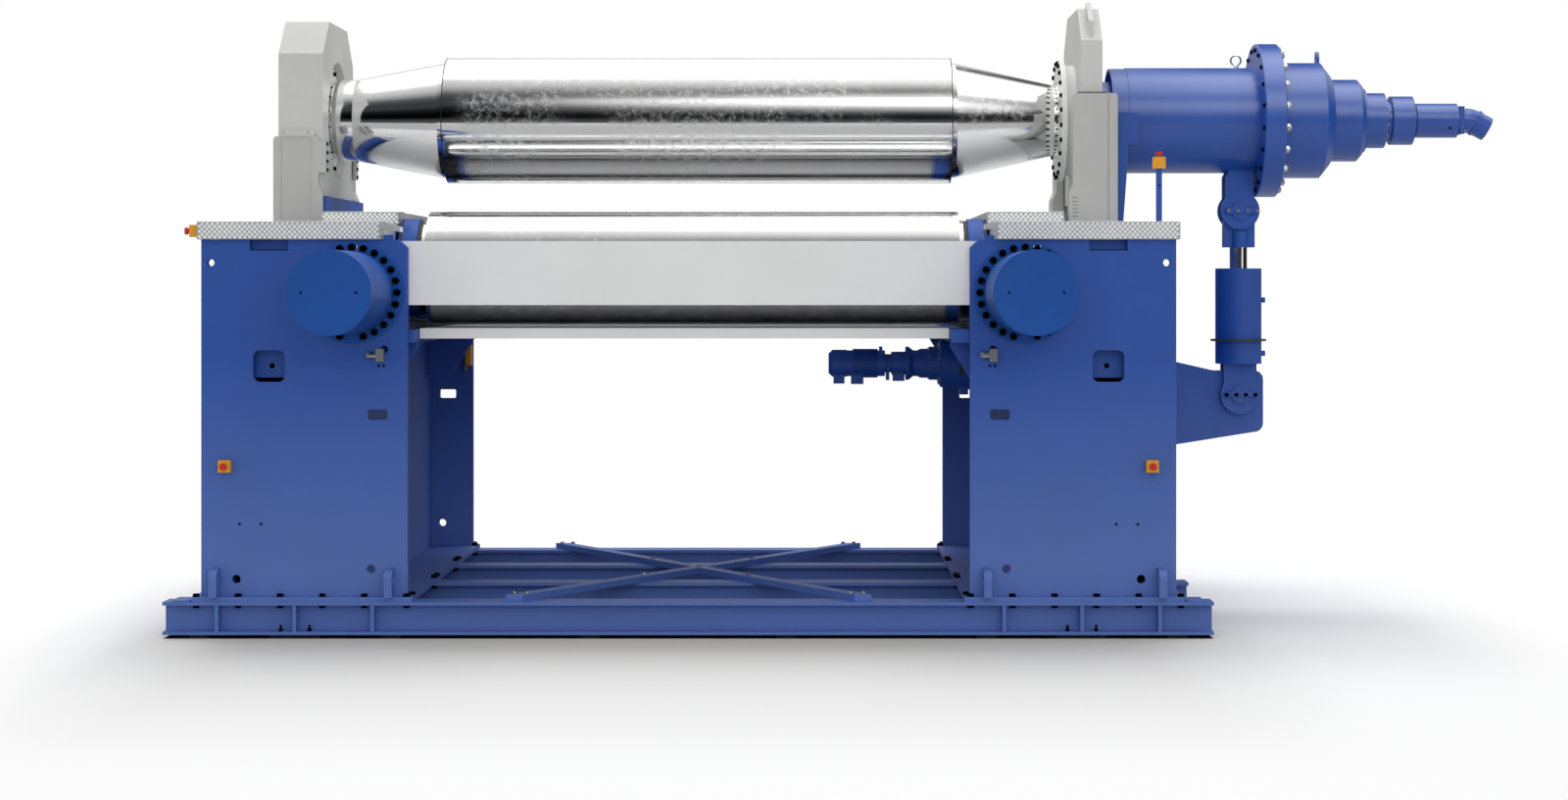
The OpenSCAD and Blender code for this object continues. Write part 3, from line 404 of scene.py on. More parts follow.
def makeRepeatTree():
    # sets a part on every point, its Z along the point's axis and turned by the spin
    tree = bpy.data.node_groups.new("repeatOnPoints", "GeometryNodeTree")
    for label, kind in (("Points", "NodeSocketGeometry"), ("Part", "NodeSocketObject"),
                        ("Finish", "NodeSocketMaterial"), ("Random Turn", "NodeSocketFloat"),
                        ("Seed", "NodeSocketInt")):
        tree.interface.new_socket(name=label, in_out="INPUT", socket_type=kind)
    tree.interface.new_socket(name="Geometry", in_out="OUTPUT", socket_type="NodeSocketGeometry")
    inlet = addNode(tree, "NodeGroupInput").outputs
    axis = addNode(tree, "GeometryNodeInputNamedAttribute", data_type="FLOAT_VECTOR",
                   in_Name="axis")
    spin = addNode(tree, "GeometryNodeInputNamedAttribute", data_type="FLOAT", in_Name="spin")
    aligned = addNode(tree, "FunctionNodeAlignRotationToVector",
                      {"Vector": axis.outputs["Attribute"]}, axis="Z")
    chance = addNode(tree, "FunctionNodeRandomValue",
                     {3: inlet["Random Turn"], "Seed": inlet["Seed"]}, data_type="FLOAT")
    angle = maths(tree, "ADD", spin.outputs["Attribute"], chance.outputs[1])
    aboutZ = addNode(tree, "FunctionNodeAxisAngleToRotation", {"Angle": angle}, in_Axis=(0, 0, 1))
    facing = addNode(tree, "FunctionNodeRotateRotation",
                     {0: aligned.outputs[0], 1: aboutZ.outputs[0]}, rotation_space="LOCAL")
    part = addNode(tree, "GeometryNodeObjectInfo", {"Object": inlet["Part"]})
    copies = addNode(tree, "GeometryNodeInstanceOnPoints",
                     {"Points": inlet["Points"], "Instance": part.outputs["Geometry"],
                      "Rotation": facing.outputs[0]})
    real = addNode(tree, "GeometryNodeRealizeInstances", {"Geometry": copies.outputs[0]})
    coated = addNode(tree, "GeometryNodeSetMaterial",
                     {"Geometry": real.outputs[0], "Material": inlet["Finish"]})
    addNode(tree, "NodeGroupOutput", {0: coated.outputs[0]})
    return tree


repeatTree = makeRepeatTree()
repeatSettings = {"Random Turn": 0.0, "Seed": 7}


def repeatPart(name, part, places, finish, body="frame"):
    # places are (point in mm, axis, spin in radians); the result is one plain mesh
    cloud = bpy.data.meshes.new(name + "Points")
    cloud.from_pydata([at(*point) for point, axis, spin in places], [], [])
    cloud.attributes.new("axis", "FLOAT_VECTOR", "POINT").data.foreach_set(
        "vector", [c for point, axis, spin in places for c in axis])
    cloud.attributes.new("spin", "FLOAT", "POINT").data.foreach_set(
        "value", [spin for point, axis, spin in places])
    pattern = newObject(name + "Part", part)
    holder = newObject(name + "Points", cloud)
    modifier = holder.modifiers.new("repeat", "NODES")
    modifier.node_group = repeatTree
    values = {"Part": pattern, "Finish": materials[finish], **repeatSettings}
    for socket in repeatTree.interface.items_tree:
        if socket.in_out == "INPUT" and socket.name in values:
            modifier[socket.identifier] = values[socket.name]
    depsgraph = bpy.context.evaluated_depsgraph_get()
    mesh = bpy.data.meshes.new_from_object(holder.evaluated_get(depsgraph))
    holder.modifiers.clear()
    bpy.data.objects.remove(holder)
    bpy.data.objects.remove(pattern)
    addPiece(name, mesh, finish, body)


# shares of a hexagon's half width or height, and the chamfer of a stud's tip
hexagon = {"washer": 1.12, "chamferFoot": 0.86, "crown": 0.84, "stud": 0.5, "studTip": 0.42,
           "tipMm": 1.5}


def hexBolt(acrossCorners, height, washer=0.0, stud=0.0):
    # hexagon head or nut with a chamfered top, on a washer, with a stud through it
    r = acrossCorners / 2
    top = washer + height
    profile = [(0, 0, 0)]
    if washer:
        rim = r * hexagon["washer"]
        profile += [(rim, 0, 0), (rim, washer, 0)]
    profile += [(r, washer, 6), (r, washer + height * hexagon["chamferFoot"], 6),
                (r * hexagon["crown"], top, 0)]
    if stud:
        shank = r * hexagon["stud"]
        profile += [(shank, top, 0), (shank, top + stud - hexagon["tipMm"], 0),
                    (r * hexagon["studTip"], top + stud, 0)]
    profile += [(0, profile[-1][1], 0)]
    return turned(profile)


socketHead = {"rimMm": 1.5, "socketFloor": 0.4}


def capScrew(head, height, key):
    # socket head with a chamfered rim and a hexagon socket; head and key are half widths
    rim, floor = socketHead["rimMm"], height * socketHead["socketFloor"]
    return turned([(0, 0, 0), (head, 0, 0), (head, height - rim, 0), (head - rim, height, 0),
                   (key, height, 6), (key, floor, 6), (0, floor, 0)])


def onCircle(count, radius, axisPoint, axis, startDegrees=0.0):
    # places round a circle about a point on an axis along X or Y
    x, y, z = axisPoint
    places = []
    for i in range(count):
        angle = math.radians(startDegrees) + 2 * math.pi * i / count
        u, v = radius * math.cos(angle), radius * math.sin(angle)
        point = (x + u, y, z + v) if axis[1] else (x, y + u, z + v)
        places.append((point, axis, angle))
    return places


def atCorners(spots, height, axis):
    # spots, each (x, y, spin), at all four corners of the machine
    return [((sx * x, sy * y, height), axis, spin)
            for sx in (-1, 1) for sy in (-1, 1) for x, y, spin in spots]


def onBothFaces(xs, y, height, spin):
    # a row of places on the face to the front, and on the one to the back
    return [((x, sy * y, height), (0, sy, 0), spin) for sy in (-1, 1) for x in xs]


front, back, up, down = (0, -1, 0), (0, 1, 0), (0, 0, 1), (0, 0, -1)
left, right = (-1, 0, 0), (1, 0, 0)
# heights of the axes: top roll, side rolls, feed cylinders and side drive
topAxis, rollAxis, feedAxis, driveAxis = 3263, 2267, 2109, 1630

# socket heads: the head's half width, its height, and the key's half width
capScrews = {
    "flange": (21.5, 24, 9), "leftCover": (13.5, 18, 6), "gib": (12, 10, 5), "keeper": (13, 14, 6),
    "plate": (7.5, 8, 4), "wiper": (4, 3, 1.6), "postCap": (6, 3, 2.5), "motorPlug": (9, 5, 4),
}
# hexagons: width across corners and height, then the washer and the stud where there is one
hexBolts = {
    "foot": (41.6, 15, 4), "anchor": (27.7, 13, 3, 22), "brace": (27.7, 10, 3),
    "drive": (50, 20, 5, 6), "rightCover": (30, 12, 3), "sideDrive": (15, 8),
    "port": (18, 10, 2), "gearbox": (20, 10, 2), "keeperBolt": (26, 10),
}
screws = {name: capScrew(*sizes) for name, sizes in capScrews.items()}
screws.update({name: hexBolt(*sizes) for name, sizes in hexBolts.items()})

# the lowest screw of each front flange is left out
feedFlange = {"x": 2058, "y": 1745, "screws": 24, "radius": 278.5, "leftOut": 18}


def feedScrewPlaces():
    places = []
    for x in (-feedFlange["x"], feedFlange["x"]):
        ring = [onCircle(feedFlange["screws"], feedFlange["radius"], (x, y, feedAxis), axis)
                for y, axis in ((-feedFlange["y"], front), (feedFlange["y"], back))]
        del ring[0][feedFlange["leftOut"]]
        places += ring[0] + ring[1]
    return places


repeatPart("feedFlangeScrews", screws["flange"], feedScrewPlaces(), "blackOxide")

# a row outside each end plate, and pairs where the lips cross the inner beams
foot = {"rowStart": 1723, "rowPitch": 256.8, "inRow": 6, "rowY": 1755, "turnEach": 0.3,
        "pairs": [(1703, 505), (1703, 625), (1703, 1635), (3007, 505), (3007, 625)],
        "headHeight": 252, "nutHeight": 202}
footSpots = [(foot["rowStart"] + i * foot["rowPitch"], foot["rowY"]) for i in range(foot["inRow"])]
footSpots = [(x, y, foot["turnEach"] * i) for i, (x, y) in enumerate(footSpots + foot["pairs"])]
repeatPart("footBolts", screws["foot"], atCorners(footSpots, foot["headHeight"], up), "blackOxide")
repeatPart("footNuts", screws["foot"], atCorners(footSpots, foot["nutHeight"], down), "blackOxide")

anchor = {"spots": [(2315, 1755, 0.4), (2490, 1755, 0.4)], "height": 42,
          "stem": [(0, -42, 0), (10, -42, 0), (10, 0, 0), (0, 0, 0)]}
anchorPlaces = atCorners(anchor["spots"], anchor["height"], up)
repeatPart("anchorNuts", screws["anchor"], anchorPlaces, "blackOxide")
repeatPart("anchorStems", turned(anchor["stem"]), anchorPlaces, "blackOxide")

brace = {"height": 262, "outer": [(1070, 1695, 0.2), (991, 1695, 0.2)], "inner": [(343, 565, 0.5)],
         "middle": (0, 0), "middleSpin": 0.1}
bracePlaces = atCorners(brace["outer"], brace["height"], up)
bracePlaces += atCorners(brace["inner"], brace["height"], up)
bracePlaces += [((*brace["middle"], brace["height"]), up, brace["middleSpin"])]
repeatPart("braceBolts", screws["brace"], bracePlaces, "zincPlate")

# circles of screws about axes along X: how many, radius, X of their face, height of the axis,
# the way they look, and degrees to the first
circles = {
    "driveBolts": (20, 473, 3876, topAxis, right, 9),
    "driveHeads": (20, 473, 3734, topAxis, left, 9),
    "leftCover": (12, 330, -2478, topAxis, right, 15),
    "rightCover": (24, 384, 2410, topAxis, left, 7.5),
    "rim": (24, 134, 1612, driveAxis, left, 0),
    "hub": (8, 104, 1545, driveAxis, left, 22.5),
    "gearbox": (16, 345, 4168, topAxis, right, 11),
    "end": (12, 148, 4604, topAxis, right, 15),
}
rings = {name: onCircle(count, radius, (x, 0, height), axis, start)
         for name, (count, radius, x, height, axis, start) in circles.items()}
port = {"x": 5134, "ys": (-60, 60), "rises": (-68, 68), "spin": 0.2}
portPlaces = [((port["x"], y, topAxis + rise), right, port["spin"])
              for y in port["ys"] for rise in port["rises"]]
for name, screw, places, finish, body in (
        ("driveFlangeBolts", "drive", rings["driveBolts"], "zincPlate", "top_carriage"),
        ("driveFlangeHeads", "brace", rings["driveHeads"], "blackOxide", "top_carriage"),
        ("leftCoverScrews", "leftCover", rings["leftCover"], "blackOxide", "top_carriage"),
        ("rightCoverBolts", "rightCover", rings["rightCover"], "blackOxide", "top_carriage"),
        ("sideDriveBolts", "sideDrive", rings["rim"] + rings["hub"], "zincPlate", "frame"),
        ("portBolts", "port", portPlaces, "zincPlate", "top_carriage"),
        ("gearboxBolts", "gearbox", rings["gearbox"] + rings["end"], "zincPlate", "top_carriage")):
    repeatPart(name, screws[screw], places, finish, body)

gibs = {"heights": (2906, 2962, 3018, 3075), "faces": [(-2404, 610, right), (-2745, 580, left)]}
gibPlaces = [((x, sy * y, z), axis, 0)
             for x, y, axis in gibs["faces"] for sy in (-1, 1) for z in gibs["heights"]]
repeatPart("gibScrews", screws["gib"], gibPlaces, "blackOxide")

# rows of screws on the faces to the front and back: their X, Y, height and spin
rows = {
    "keeperScrews": ([3538 + 64 * i for i in range(4)], 103, 1422, 0),
    "keeperBolts": ([3547 + 64 * i for i in range(4)], 120, 2653, 0.3),
    "upperPlates": ((-1897, -1866, 1844, 1875), 1715, 1660, 0),
    "lowerPlates": ((-2749, -2618, 2618, 2749), 1715, 691, 0),
    "wipers": ((-2681, -2521), 640, 3148, 0),
}
spots = {name: onBothFaces(*row) for name, row in rows.items()}
repeatPart("keeperScrews", screws["keeper"], spots["keeperScrews"], "blackOxide")
repeatPart("keeperBolts", screws["keeperBolt"], spots["keeperBolts"], "zincPlate", "top_carriage")
platePlaces = spots["upperPlates"] + spots["lowerPlates"]
repeatPart("plateScrews", screws["plate"], platePlaces, "blackOxide")
repeatPart("wiperScrews", screws["wiper"], spots["wipers"], "blackOxide")
print("fasteners ready")


def twinBlocks(xs, ys, zs):
    # a block between the two values of each range, and first its twin at the front
    return [((xs[0], low, zs[0]), (xs[1], high, zs[1])) for low, high in ((-ys[1], -ys[0]), ys)]


def addBlocks(pieces):
    # each piece is (finish, body, bevel in mm, corners of its blocks)
    for name, (finish, body, bevelMm, boxes) in pieces.items():
        shape = bmesh.new()
        for low, high in boxes:
            addBlock(shape, low, high, bevelMm)
        addPiece(name, meshFrom(shape), finish, body)


smallBlocks = {
    # wiper strips on top of the guides, brushing the blocks' faces
    "leftWipers": ("greyEnamel", "frame", 1.5,
                   twinBlocks((-2715, -2480), (613, 640), (3122, 3157))),
    # the right strips are dark rubber that also stands in as painted shade for the gap under the
    # blocks
    "rightWipers": ("sealRubber", "frame", 1.5,
                    twinBlocks((2486, 2677), (613, 640), (3404, 3413))),
    # scale beside the right block: a tick every 24 mm
    "scaleTicks": ("blackenedSteel", "frame", 0.2, [
        ((2450, -661, z), (2486, -659.9, z + 3)) for z in range(2602, 2746, 24)]),
    "lowerKeepers": ("blueEnamel", "frame", 1.5,
                     twinBlocks((3526, 3742), (80, 103), (1405, 1440))),
    "upperKeepers": ("blueEnamel", "top_carriage", 1.5,
                     twinBlocks((3530, 3742), (98, 120), (2633, 2672))),
    "bracketSeam": ("blueEnamel", "frame", 0.4, twinBlocks((3477, 3480), (29, 31), (1130, 1578))),
    "boxPlate": ("castGrey", "frame", 1.5, [((-1772, 1575, 1534), (-1762, 1655, 1763))]),
}
addBlocks(smallBlocks)

# cooling fins along the side drive's motor
fins = {"count": 36, "x": 1117, "radius": 86, "low": (-84, -1.2, 0), "high": (84, 1.2, 11),
        "bevelMm": 0.5}


def makeFins():
    fin = bmesh.new()
    addBlock(fin, fins["low"], fins["high"], fins["bevelMm"])
    places = []
    for i in range(fins["count"]):
        a = math.pi * (2 * i + 1) / fins["count"]
        across, rise = fins["radius"] * math.cos(a), fins["radius"] * math.sin(a)
        places.append(((fins["x"], across, driveAxis + rise), (0, math.cos(a), math.sin(a)), 0))
    repeatPart("motorFins", meshFrom(fin), places, "blueEnamel")


makeFins()


def makeTorus(shape, ring, wire, place, around=32, about=12):
    # a ring of round bar about Z, moved by a matrix
    rows = []
    for i in range(around):
        a = 2 * math.pi * i / around
        row = []
        for j in range(about):
            b = 2 * math.pi * j / about
            reach = ring + wire * math.cos(b)
            spot = at(reach * math.cos(a), reach * math.sin(a), wire * math.sin(b))
            row.append(shape.verts.new(place @ spot))
        rows.append(row)
    for i in range(around):
        low, high = rows[i], rows[(i + 1) % around]
        for j in range(about):
            k = (j + 1) % about
            shape.faces.new([low[j], low[k], high[k], high[j]])


# on top of the drive tube; the collar is in metres
eyeBolt = {"x": 3613, "tubeRadius": 353, "collarRise": 6, "ringRise": 52, "ring": 34, "wire": 6.5,
           "collar": {"radius1": 0.022, "radius2": 0.016, "depth": 0.02, "segments": 24}}


def makeEyeBolt():
    shape = bmesh.new()
    x, tubeTop = eyeBolt["x"], topAxis + eyeBolt["tubeRadius"]
    ringPlace = along(back, x, 0, tubeTop + eyeBolt["ringRise"])
    makeTorus(shape, eyeBolt["ring"], eyeBolt["wire"], ringPlace)
    collarPlace = Matrix.Translation(at(x, 0, tubeTop + eyeBolt["collarRise"]))
    bmesh.ops.create_cone(shape, cap_ends=True, matrix=collarPlace, **eyeBolt["collar"])
    addPiece("tubeEyeBolt", meshFrom(shape), "chromedRod", "top_carriage")


makeEyeBolt()

# seal rings between the side rolls' ends and their bearing rings, and the band in each groove,
# as profiles from the machine's middle
seals = {
    "rolls": (("front", -855, "front_slide"), ("rear", 855, "rear_slide")), "segments": 96,
    "SealRings": [(190, 1722, 0), (298, 1722, 0), (300, 1724, 0), (300, 1749, 0), (190, 1749, 0)],
    "GrooveBands": [(306.2, 1848, 0), (308, 1848.5, 0), (308, 1859.5, 0), (306.2, 1860, 0)],
}


def makeSeals():
    for label, y, body in seals["rolls"]:
        for kind in ("SealRings", "GrooveBands"):
            shape = bmesh.new()
            for axis in (left, right):
                addTurned(shape, seals[kind], seals["segments"], along(axis, 0, y, rollAxis))
            addPiece(label + kind, meshFrom(shape), "sealRubber", body)


makeSeals()

# the last two are in metres
arrow = {"middle": 1759, "foot": 1562, "neck": 1635, "tip": 1672, "half": 16, "headHalf": 31,
         "reach": 162.4, "steps": 12, "thickness": 0.0008, "merge": 0.00001}


def makeArrow():
    # a thin arrow round the front of the side drive's drum: it turns the rolls this way
    shape = bmesh.new()
    middle, neck, reach, steps = (arrow[key] for key in ("middle", "neck", "reach", "steps"))

    def corner(x, z):
        angle = math.asin((z - driveAxis) / reach)
        forward, rise = reach * math.cos(angle), reach * math.sin(angle)
        return shape.verts.new(at(x, -forward, driveAxis + rise))

    pace = (neck - arrow["foot"]) / steps
    for i in range(steps):
        z0, z1 = arrow["foot"] + pace * i, arrow["foot"] + pace * (i + 1)
        x0, x1 = middle - arrow["half"], middle + arrow["half"]
        shape.faces.new([corner(x0, z0), corner(x1, z0), corner(x1, z1), corner(x0, z1)])
    for i in range(steps):
        z0, z1 = (neck + (arrow["tip"] - neck) * (i + j) / steps for j in (0, 1))
        w0, w1 = (arrow["headHalf"] * (steps - i - j) / steps for j in (0, 1))
        low = [corner(middle - w0, z0), corner(middle + w0, z0)]
        high = [corner(middle + w1, z1), corner(middle - w1, z1)] if w1 else [corner(middle, z1)]
        shape.faces.new(low + high)
    bmesh.ops.remove_doubles(shape, verts=shape.verts, dist=arrow["merge"])
    bmesh.ops.recalc_face_normals(shape, faces=shape.faces)
    bmesh.ops.solidify(shape, geom=shape.faces, thickness=-arrow["thickness"])
    addPiece("turningArrow", meshFrom(shape), "sealRubber", "frame")


makeArrow()

# the threaded body of each position switch, over the stub that carries it
sleeve = {"xs": (-1912, 1840), "ys": (-1737.5, 1737.5), "z": 1725, "inner": 18.4, "outer": 20.4,
          "length": 42, "grooves": 5, "grooveDepth": 1.6, "grooveHalf": 1.4, "floorHalf": 0.7,
          "segments": 48}


def sleeveProfile():
    # a sleeve with turned grooves, open along its inner face
    inner, outer, length = sleeve["inner"], sleeve["outer"], sleeve["length"]
    floor = outer - sleeve["grooveDepth"]
    half, floorHalf = sleeve["grooveHalf"], sleeve["floorHalf"]
    profile = [(inner, 0, 0), (outer, 0, 0)]
    step = length / (sleeve["grooves"] + 1)
    for i in range(1, sleeve["grooves"] + 1):
        h = step * i
        profile += [(outer, h - half, 0), (floor, h - floorHalf, 0),
                    (floor, h + floorHalf, 0), (outer, h + half, 0)]
    return profile + [(outer, length, 0), (inner, length, 0)]


def makeSensorSleeves():
    shape = bmesh.new()
    for x in sleeve["xs"]:
        for y in sleeve["ys"]:
            addTurned(shape, sleeveProfile(), sleeve["segments"], along(left, x, y, sleeve["z"]))
    addPiece("sensorSleeves", meshFrom(shape), "zincPlate", "frame")


makeSensorSleeves()

# the dark turned line at each end of the top roll's face, as a profile over its surface
rollEdge = {"xs": (-1690, 1683), "segments": 128,
            "profile": [(-2, 0), (-0.6, 0), (0.5, 0.8), (0.5, 6.2), (-0.6, 7), (-2, 7)]}


def makeRollEdges():
    lowest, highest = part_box("top_roll")
    radius = (highest[1] - lowest[1]) * 500
    shape = bmesh.new()
    for x in rollEdge["xs"]:
        profile = [(radius + rise, distance, 0) for rise, distance in rollEdge["profile"]]
        addTurned(shape, profile, rollEdge["segments"], along(right, x, 0, topAxis))
    addPiece("rollEdges", meshFrom(shape), "blackenedSteel", "top_roll")


makeRollEdges()

# greased pins on the front flanges, plugs in the cylinders' ends, and small caps
pins = {"xs": (-2138, -2027, 2110, 2150), "y": -1749, "z": 2347, "segments": 16,
        "profile": [(0, 0, 0), (5, 0, 0), (5, 49.5, 0), (4, 51, 0), (0, 51, 0)]}
repeatPart("flangePins", turned(pins["profile"], pins["segments"]),
           [((x, pins["y"], pins["z"]), up, 0) for x in pins["xs"]], "zincPlate")
plug = {"x": 2058, "apart": 160, "y": 2580,
        "profile": [(0, 0, 0), (7.8, 0, 0), (7.8, 9, 0), (7, 9.5, 0),
                    (3.5, 9.5, 6), (3.5, 5, 6), (0, 5, 0)]}
plugPlaces = [((sx * plug["x"] + s * plug["apart"], sy * plug["y"], feedAxis), (0, sy, 0), 0)
              for sx in (-1, 1) for sy in (-1, 1) for s in (-1, 1)]
repeatPart("portPlugs", turned(plug["profile"]), plugPlaces, "blackOxide")
postCapPoint = (2917, -1432, 2774)
repeatPart("postCap", screws["postCap"], [(postCapPoint, front, 0)], "blackOxide")
motorPlug = {"x": 5035, "radius": 114.5, "degreesDown": 28.6}
slant = math.radians(motorPlug["degreesDown"])
slope = (0, -math.cos(slant), -math.sin(slant))
spot = (motorPlug["x"], motorPlug["radius"] * slope[1], topAxis + motorPlug["radius"] * slope[2])
repeatPart("motorPlug", screws["motorPlug"], [(spot, slope, 0)], "blackOxide", "top_carriage")
lowBlocks = {
    "beamEndPlates": ("blueEnamel", "frame", 1.5,
                      twinBlocks((-3146, -3040), (1600, 1790), (222, 234))
                      + twinBlocks((3040, 3146), (1600, 1790), (222, 234))),
    # painted shade: dark lines where the left guides' face strips meet
    "guideSeams": ("blackenedSteel", "frame", 0.1,
                   twinBlocks((-2503.2, -2501), (640, 640.4), (2544, 3120))),
    "drumFoot": ("blueEnamel", "frame", 1.5, [((1755, -30, 1420), (1810, 30, 1472))]),
}
addBlocks(lowBlocks)
print("fittings ready")

# raised bars: pitch in a row, distance between rows, bare edge, and a bar's own sizes
tread = {"pitch": 30.6, "row": 16.0, "edge": 12, "long": 27.0, "wide": 12.0, "high": 2.8,
         "bendAlong": 0.62, "bendAcross": 0.72}


def makeLozenge():
    # one raised bar: lens-shaped, with a short ridge, open below
    shape = bmesh.new()
    half, side, ridge = tread["long"] / 2, tread["wide"] / 2, tread["long"] / 4
    bend, flank = half * tread["bendAlong"], side * tread["bendAcross"]
    outline = [(-half, 0), (-bend, -flank), (0, -side), (bend, -flank),
               (half, 0), (bend, flank), (0, side), (-bend, flank)]
    rim = [shape.verts.new(at(x, y, 0)) for x, y in outline]
    first, last = (shape.verts.new(at(x, 0, tread["high"])) for x in (-ridge, ridge))
    for i in range(8):
        shape.faces.new([rim[i], rim[(i + 1) % 8], last if i in (2, 3, 4, 5) else first])
    shape.faces.new([rim[2], last, first])
    shape.faces.new([rim[6], first, last])
    return rawMesh("lozenge", shape)


def treadPlaces(axis, level, uRange, vRange, holes=()):
    # bars in rows whose diagonals alternate; u runs along X, or along Y on an end face
    places = []
    edge, row, halfPitch = tread["edge"], tread["row"], tread["pitch"] / 2
    rows = int((vRange[1] - vRange[0] - 2 * edge) / row) + 1
    columns = int((uRange[1] - uRange[0] - 2 * edge) / halfPitch) + 1
    vStart = (vRange[0] + vRange[1] - (rows - 1) * row) / 2
    uStart = (uRange[0] + uRange[1] - (columns - 1) * halfPitch) / 2
    for j in range(rows):
        for i in range(j % 2, columns, 2):
            u, v = uStart + i * halfPitch, vStart + j * row
            if any(a <= u <= b and c <= v <= d for a, b, c, d in holes):
                continue
            point = (u, v, level) if axis[2] else (u, level, v) if axis[1] else (level, u, v)
            places.append((point, axis, math.pi / 4 if j % 2 else -math.pi / 4))
    return places


# distances from the machine's middle, and heights; covered is where something stands on the deck
deck = {"inner": 1886, "end": 3006, "side": 1745, "rim": (2434, 2542), "top": 2542}
step = {"inner": 1874, "sideInner": 1870, "end": 2361, "side": 1055, "rim": (2542, 2620),
        "top": 2620}
covered = {"step": (1862, 2370), "stepSide": 1062, "columns": (2390, 2760),
           "columnSides": ((-672, -530), (530, 860)), "post": (2850, 2985, -1468, -1362)}


def makeTread(side, label):
    outward = (side, 0, 0)

    def span(a, b):
        return sorted((side * a, side * b))

    def across(half):
        return (-half, half)

    holes = [(*span(*covered["step"]), *across(covered["stepSide"]))]
    holes += [(*span(*covered["columns"]), *ys) for ys in covered["columnSides"]]
    if side > 0:
        holes.append(covered["post"])
    deckSpan = span(deck["inner"], deck["end"])
    stepSpan = span(step["sideInner"], step["end"])
    places = treadPlaces(up, deck["top"], deckSpan, across(deck["side"]), holes)
    for sy in (-1, 1):
        places += treadPlaces((0, sy, 0), sy * deck["side"], deckSpan, deck["rim"])
        places += treadPlaces((0, sy, 0), sy * step["side"], stepSpan, step["rim"])
    places += treadPlaces(outward, side * deck["end"], across(deck["side"]), deck["rim"])
    places += treadPlaces(up, step["top"], span(step["inner"], step["end"]), across(step["side"]))
    places += treadPlaces(outward, side * step["end"], across(step["side"]), step["rim"])
    # the bars take the whiter finish, a painted highlight
    repeatPart(label, makeLozenge(), places, "treadBars")


makeTread(-1, "leftTread")
makeTread(1, "rightTread")
print("tread plate ready")


def mixShaders(tree, factor, first, second):
    return addNode(tree, "ShaderNodeMixShader",
                   {0: factor, 1: first.outputs[0], 2: second.outputs[0]})


def stageMesh(name, shape, material):
    mesh = rawMesh(name, shape)
    mesh.materials.append(material)
    return newObject(name, mesh)


# the floor's tones for the camera, in bounced light, and in mirrors before and behind the machine,
# where the dark one behind is painted shade; its fade to white for the camera; and
# paintedFrontShadow, a painted shadow that darkens it by Y
ground = {
    "size": 120.0, "seen": "#f9f9f9", "bounce": "#b8b8b8", "mirrored": "#b6b6b6",
    "behind": "#2c2d30", "shadowReach": (6.5, 11.0), "middle": 0.6, "endFade": (3.9, 4.7),
    "abreast": (3.6, 2.7), "behindFrom": (-1.5, -0.5), "behindWithin": (3.2, 2.6),
    "shadeSpan": (-7.0, -1.0),
    "paintedFrontShadow": [(-6.5, (1, 1, 1)), (-4.5, (0.875, 0.873, 0.868)), (-3.0, (0.85, 0.845, 0.83)),
                   (-1.87, (0.72, 0.7, 0.64)), (-1.0, (1, 1, 1))],
}


def makeFloor():
    bpy.ops.mesh.primitive_plane_add(size=ground["size"], location=(0, 0, 0))
    floor = bpy.context.object
    floor.name = "studioFloor"
    material, tree = emptyMaterial("paleFloor")
    ray = addNode(tree, "ShaderNodeLightPath").outputs
    seen, bounce, mirrored, behind = (
        addNode(tree, "ShaderNodeBsdfDiffuse", in_Color=hexColour(ground[key]))
        for key in ("seen", "bounce", "mirrored", "behind"))
    place = objectPlace(tree)
    parts = splitPlace(tree, place)
    away = addNode(tree, "ShaderNodeVectorMath", {0: place}, operation="LENGTH").outputs["Value"]
    sideways = maths(tree, "ABSOLUTE", maths(tree, "SUBTRACT", parts["X"], ground["middle"]))
    fade = maths(tree, "MAXIMUM", mapRange(tree, away, *ground["shadowReach"]),
                 mapRange(tree, sideways, *ground["endFade"]))
    # painted shadow: the floor darker in front of the machine, by Y, where abreast of it
    first, last = ground["shadeSpan"]
    stops = [((y - first) / (last - first), (*tone, 1)) for y, tone in ground["paintedFrontShadow"]]
    depths = colourRamp(tree, mapRange(tree, parts["Y"], first, last), stops)
    abreast = mapRange(tree, maths(tree, "ABSOLUTE", parts["X"]), *ground["abreast"])
    shade = mixColours(tree, abreast, hexColour(ground["seen"]), depths, "MULTIPLY")
    tree.links.new(shade, seen.inputs["Color"])
    faded = mixShaders(tree, fade, seen, addNode(tree, "ShaderNodeEmission", in_Strength=1.0))
    matte = mixShaders(tree, ray["Is Diffuse Ray"], faded, bounce)
    # painted shade for mirrors: under and behind the machine they see the floor dark
    dark = maths(tree, "MULTIPLY", mapRange(tree, parts["Y"], *ground["behindFrom"]),
                 mapRange(tree, parts["X"], *ground["behindWithin"]))
    shiny = mixShaders(tree, dark, mirrored, behind)
    shaderOut(tree, mixShaders(tree, ray["Is Glossy Ray"], matte, shiny))
    floor.data.materials.append(material)


# painted shadow: dark sheets on the floor close under the beams, where no light comes
beamShade = {"rows": (-1695, -565, 565, 1695), "halfLong": 3200, "halfWide": 95,
             "colour": "#161616"}


def makeBeamShade():
    shape = bmesh.new()
    x, wide = beamShade["halfLong"], beamShade["halfWide"]
    for y in beamShade["rows"]:
        corners = [(-x, y - wide), (x, y - wide), (x, y + wide), (-x, y + wide)]
        shape.faces.new([shape.verts.new(at(u, v, 1)) for u, v in corners])
    material, tree = emptyMaterial("paintedShadowFloor")
    dark = hexColour(beamShade["colour"])
    shaderOut(tree, addNode(tree, "ShaderNodeBsdfDiffuse", in_Color=dark))
    stageMesh("beamShade", shape, material)


worldLight = {"seen": 1.0, "onSurfaces": 0.75}


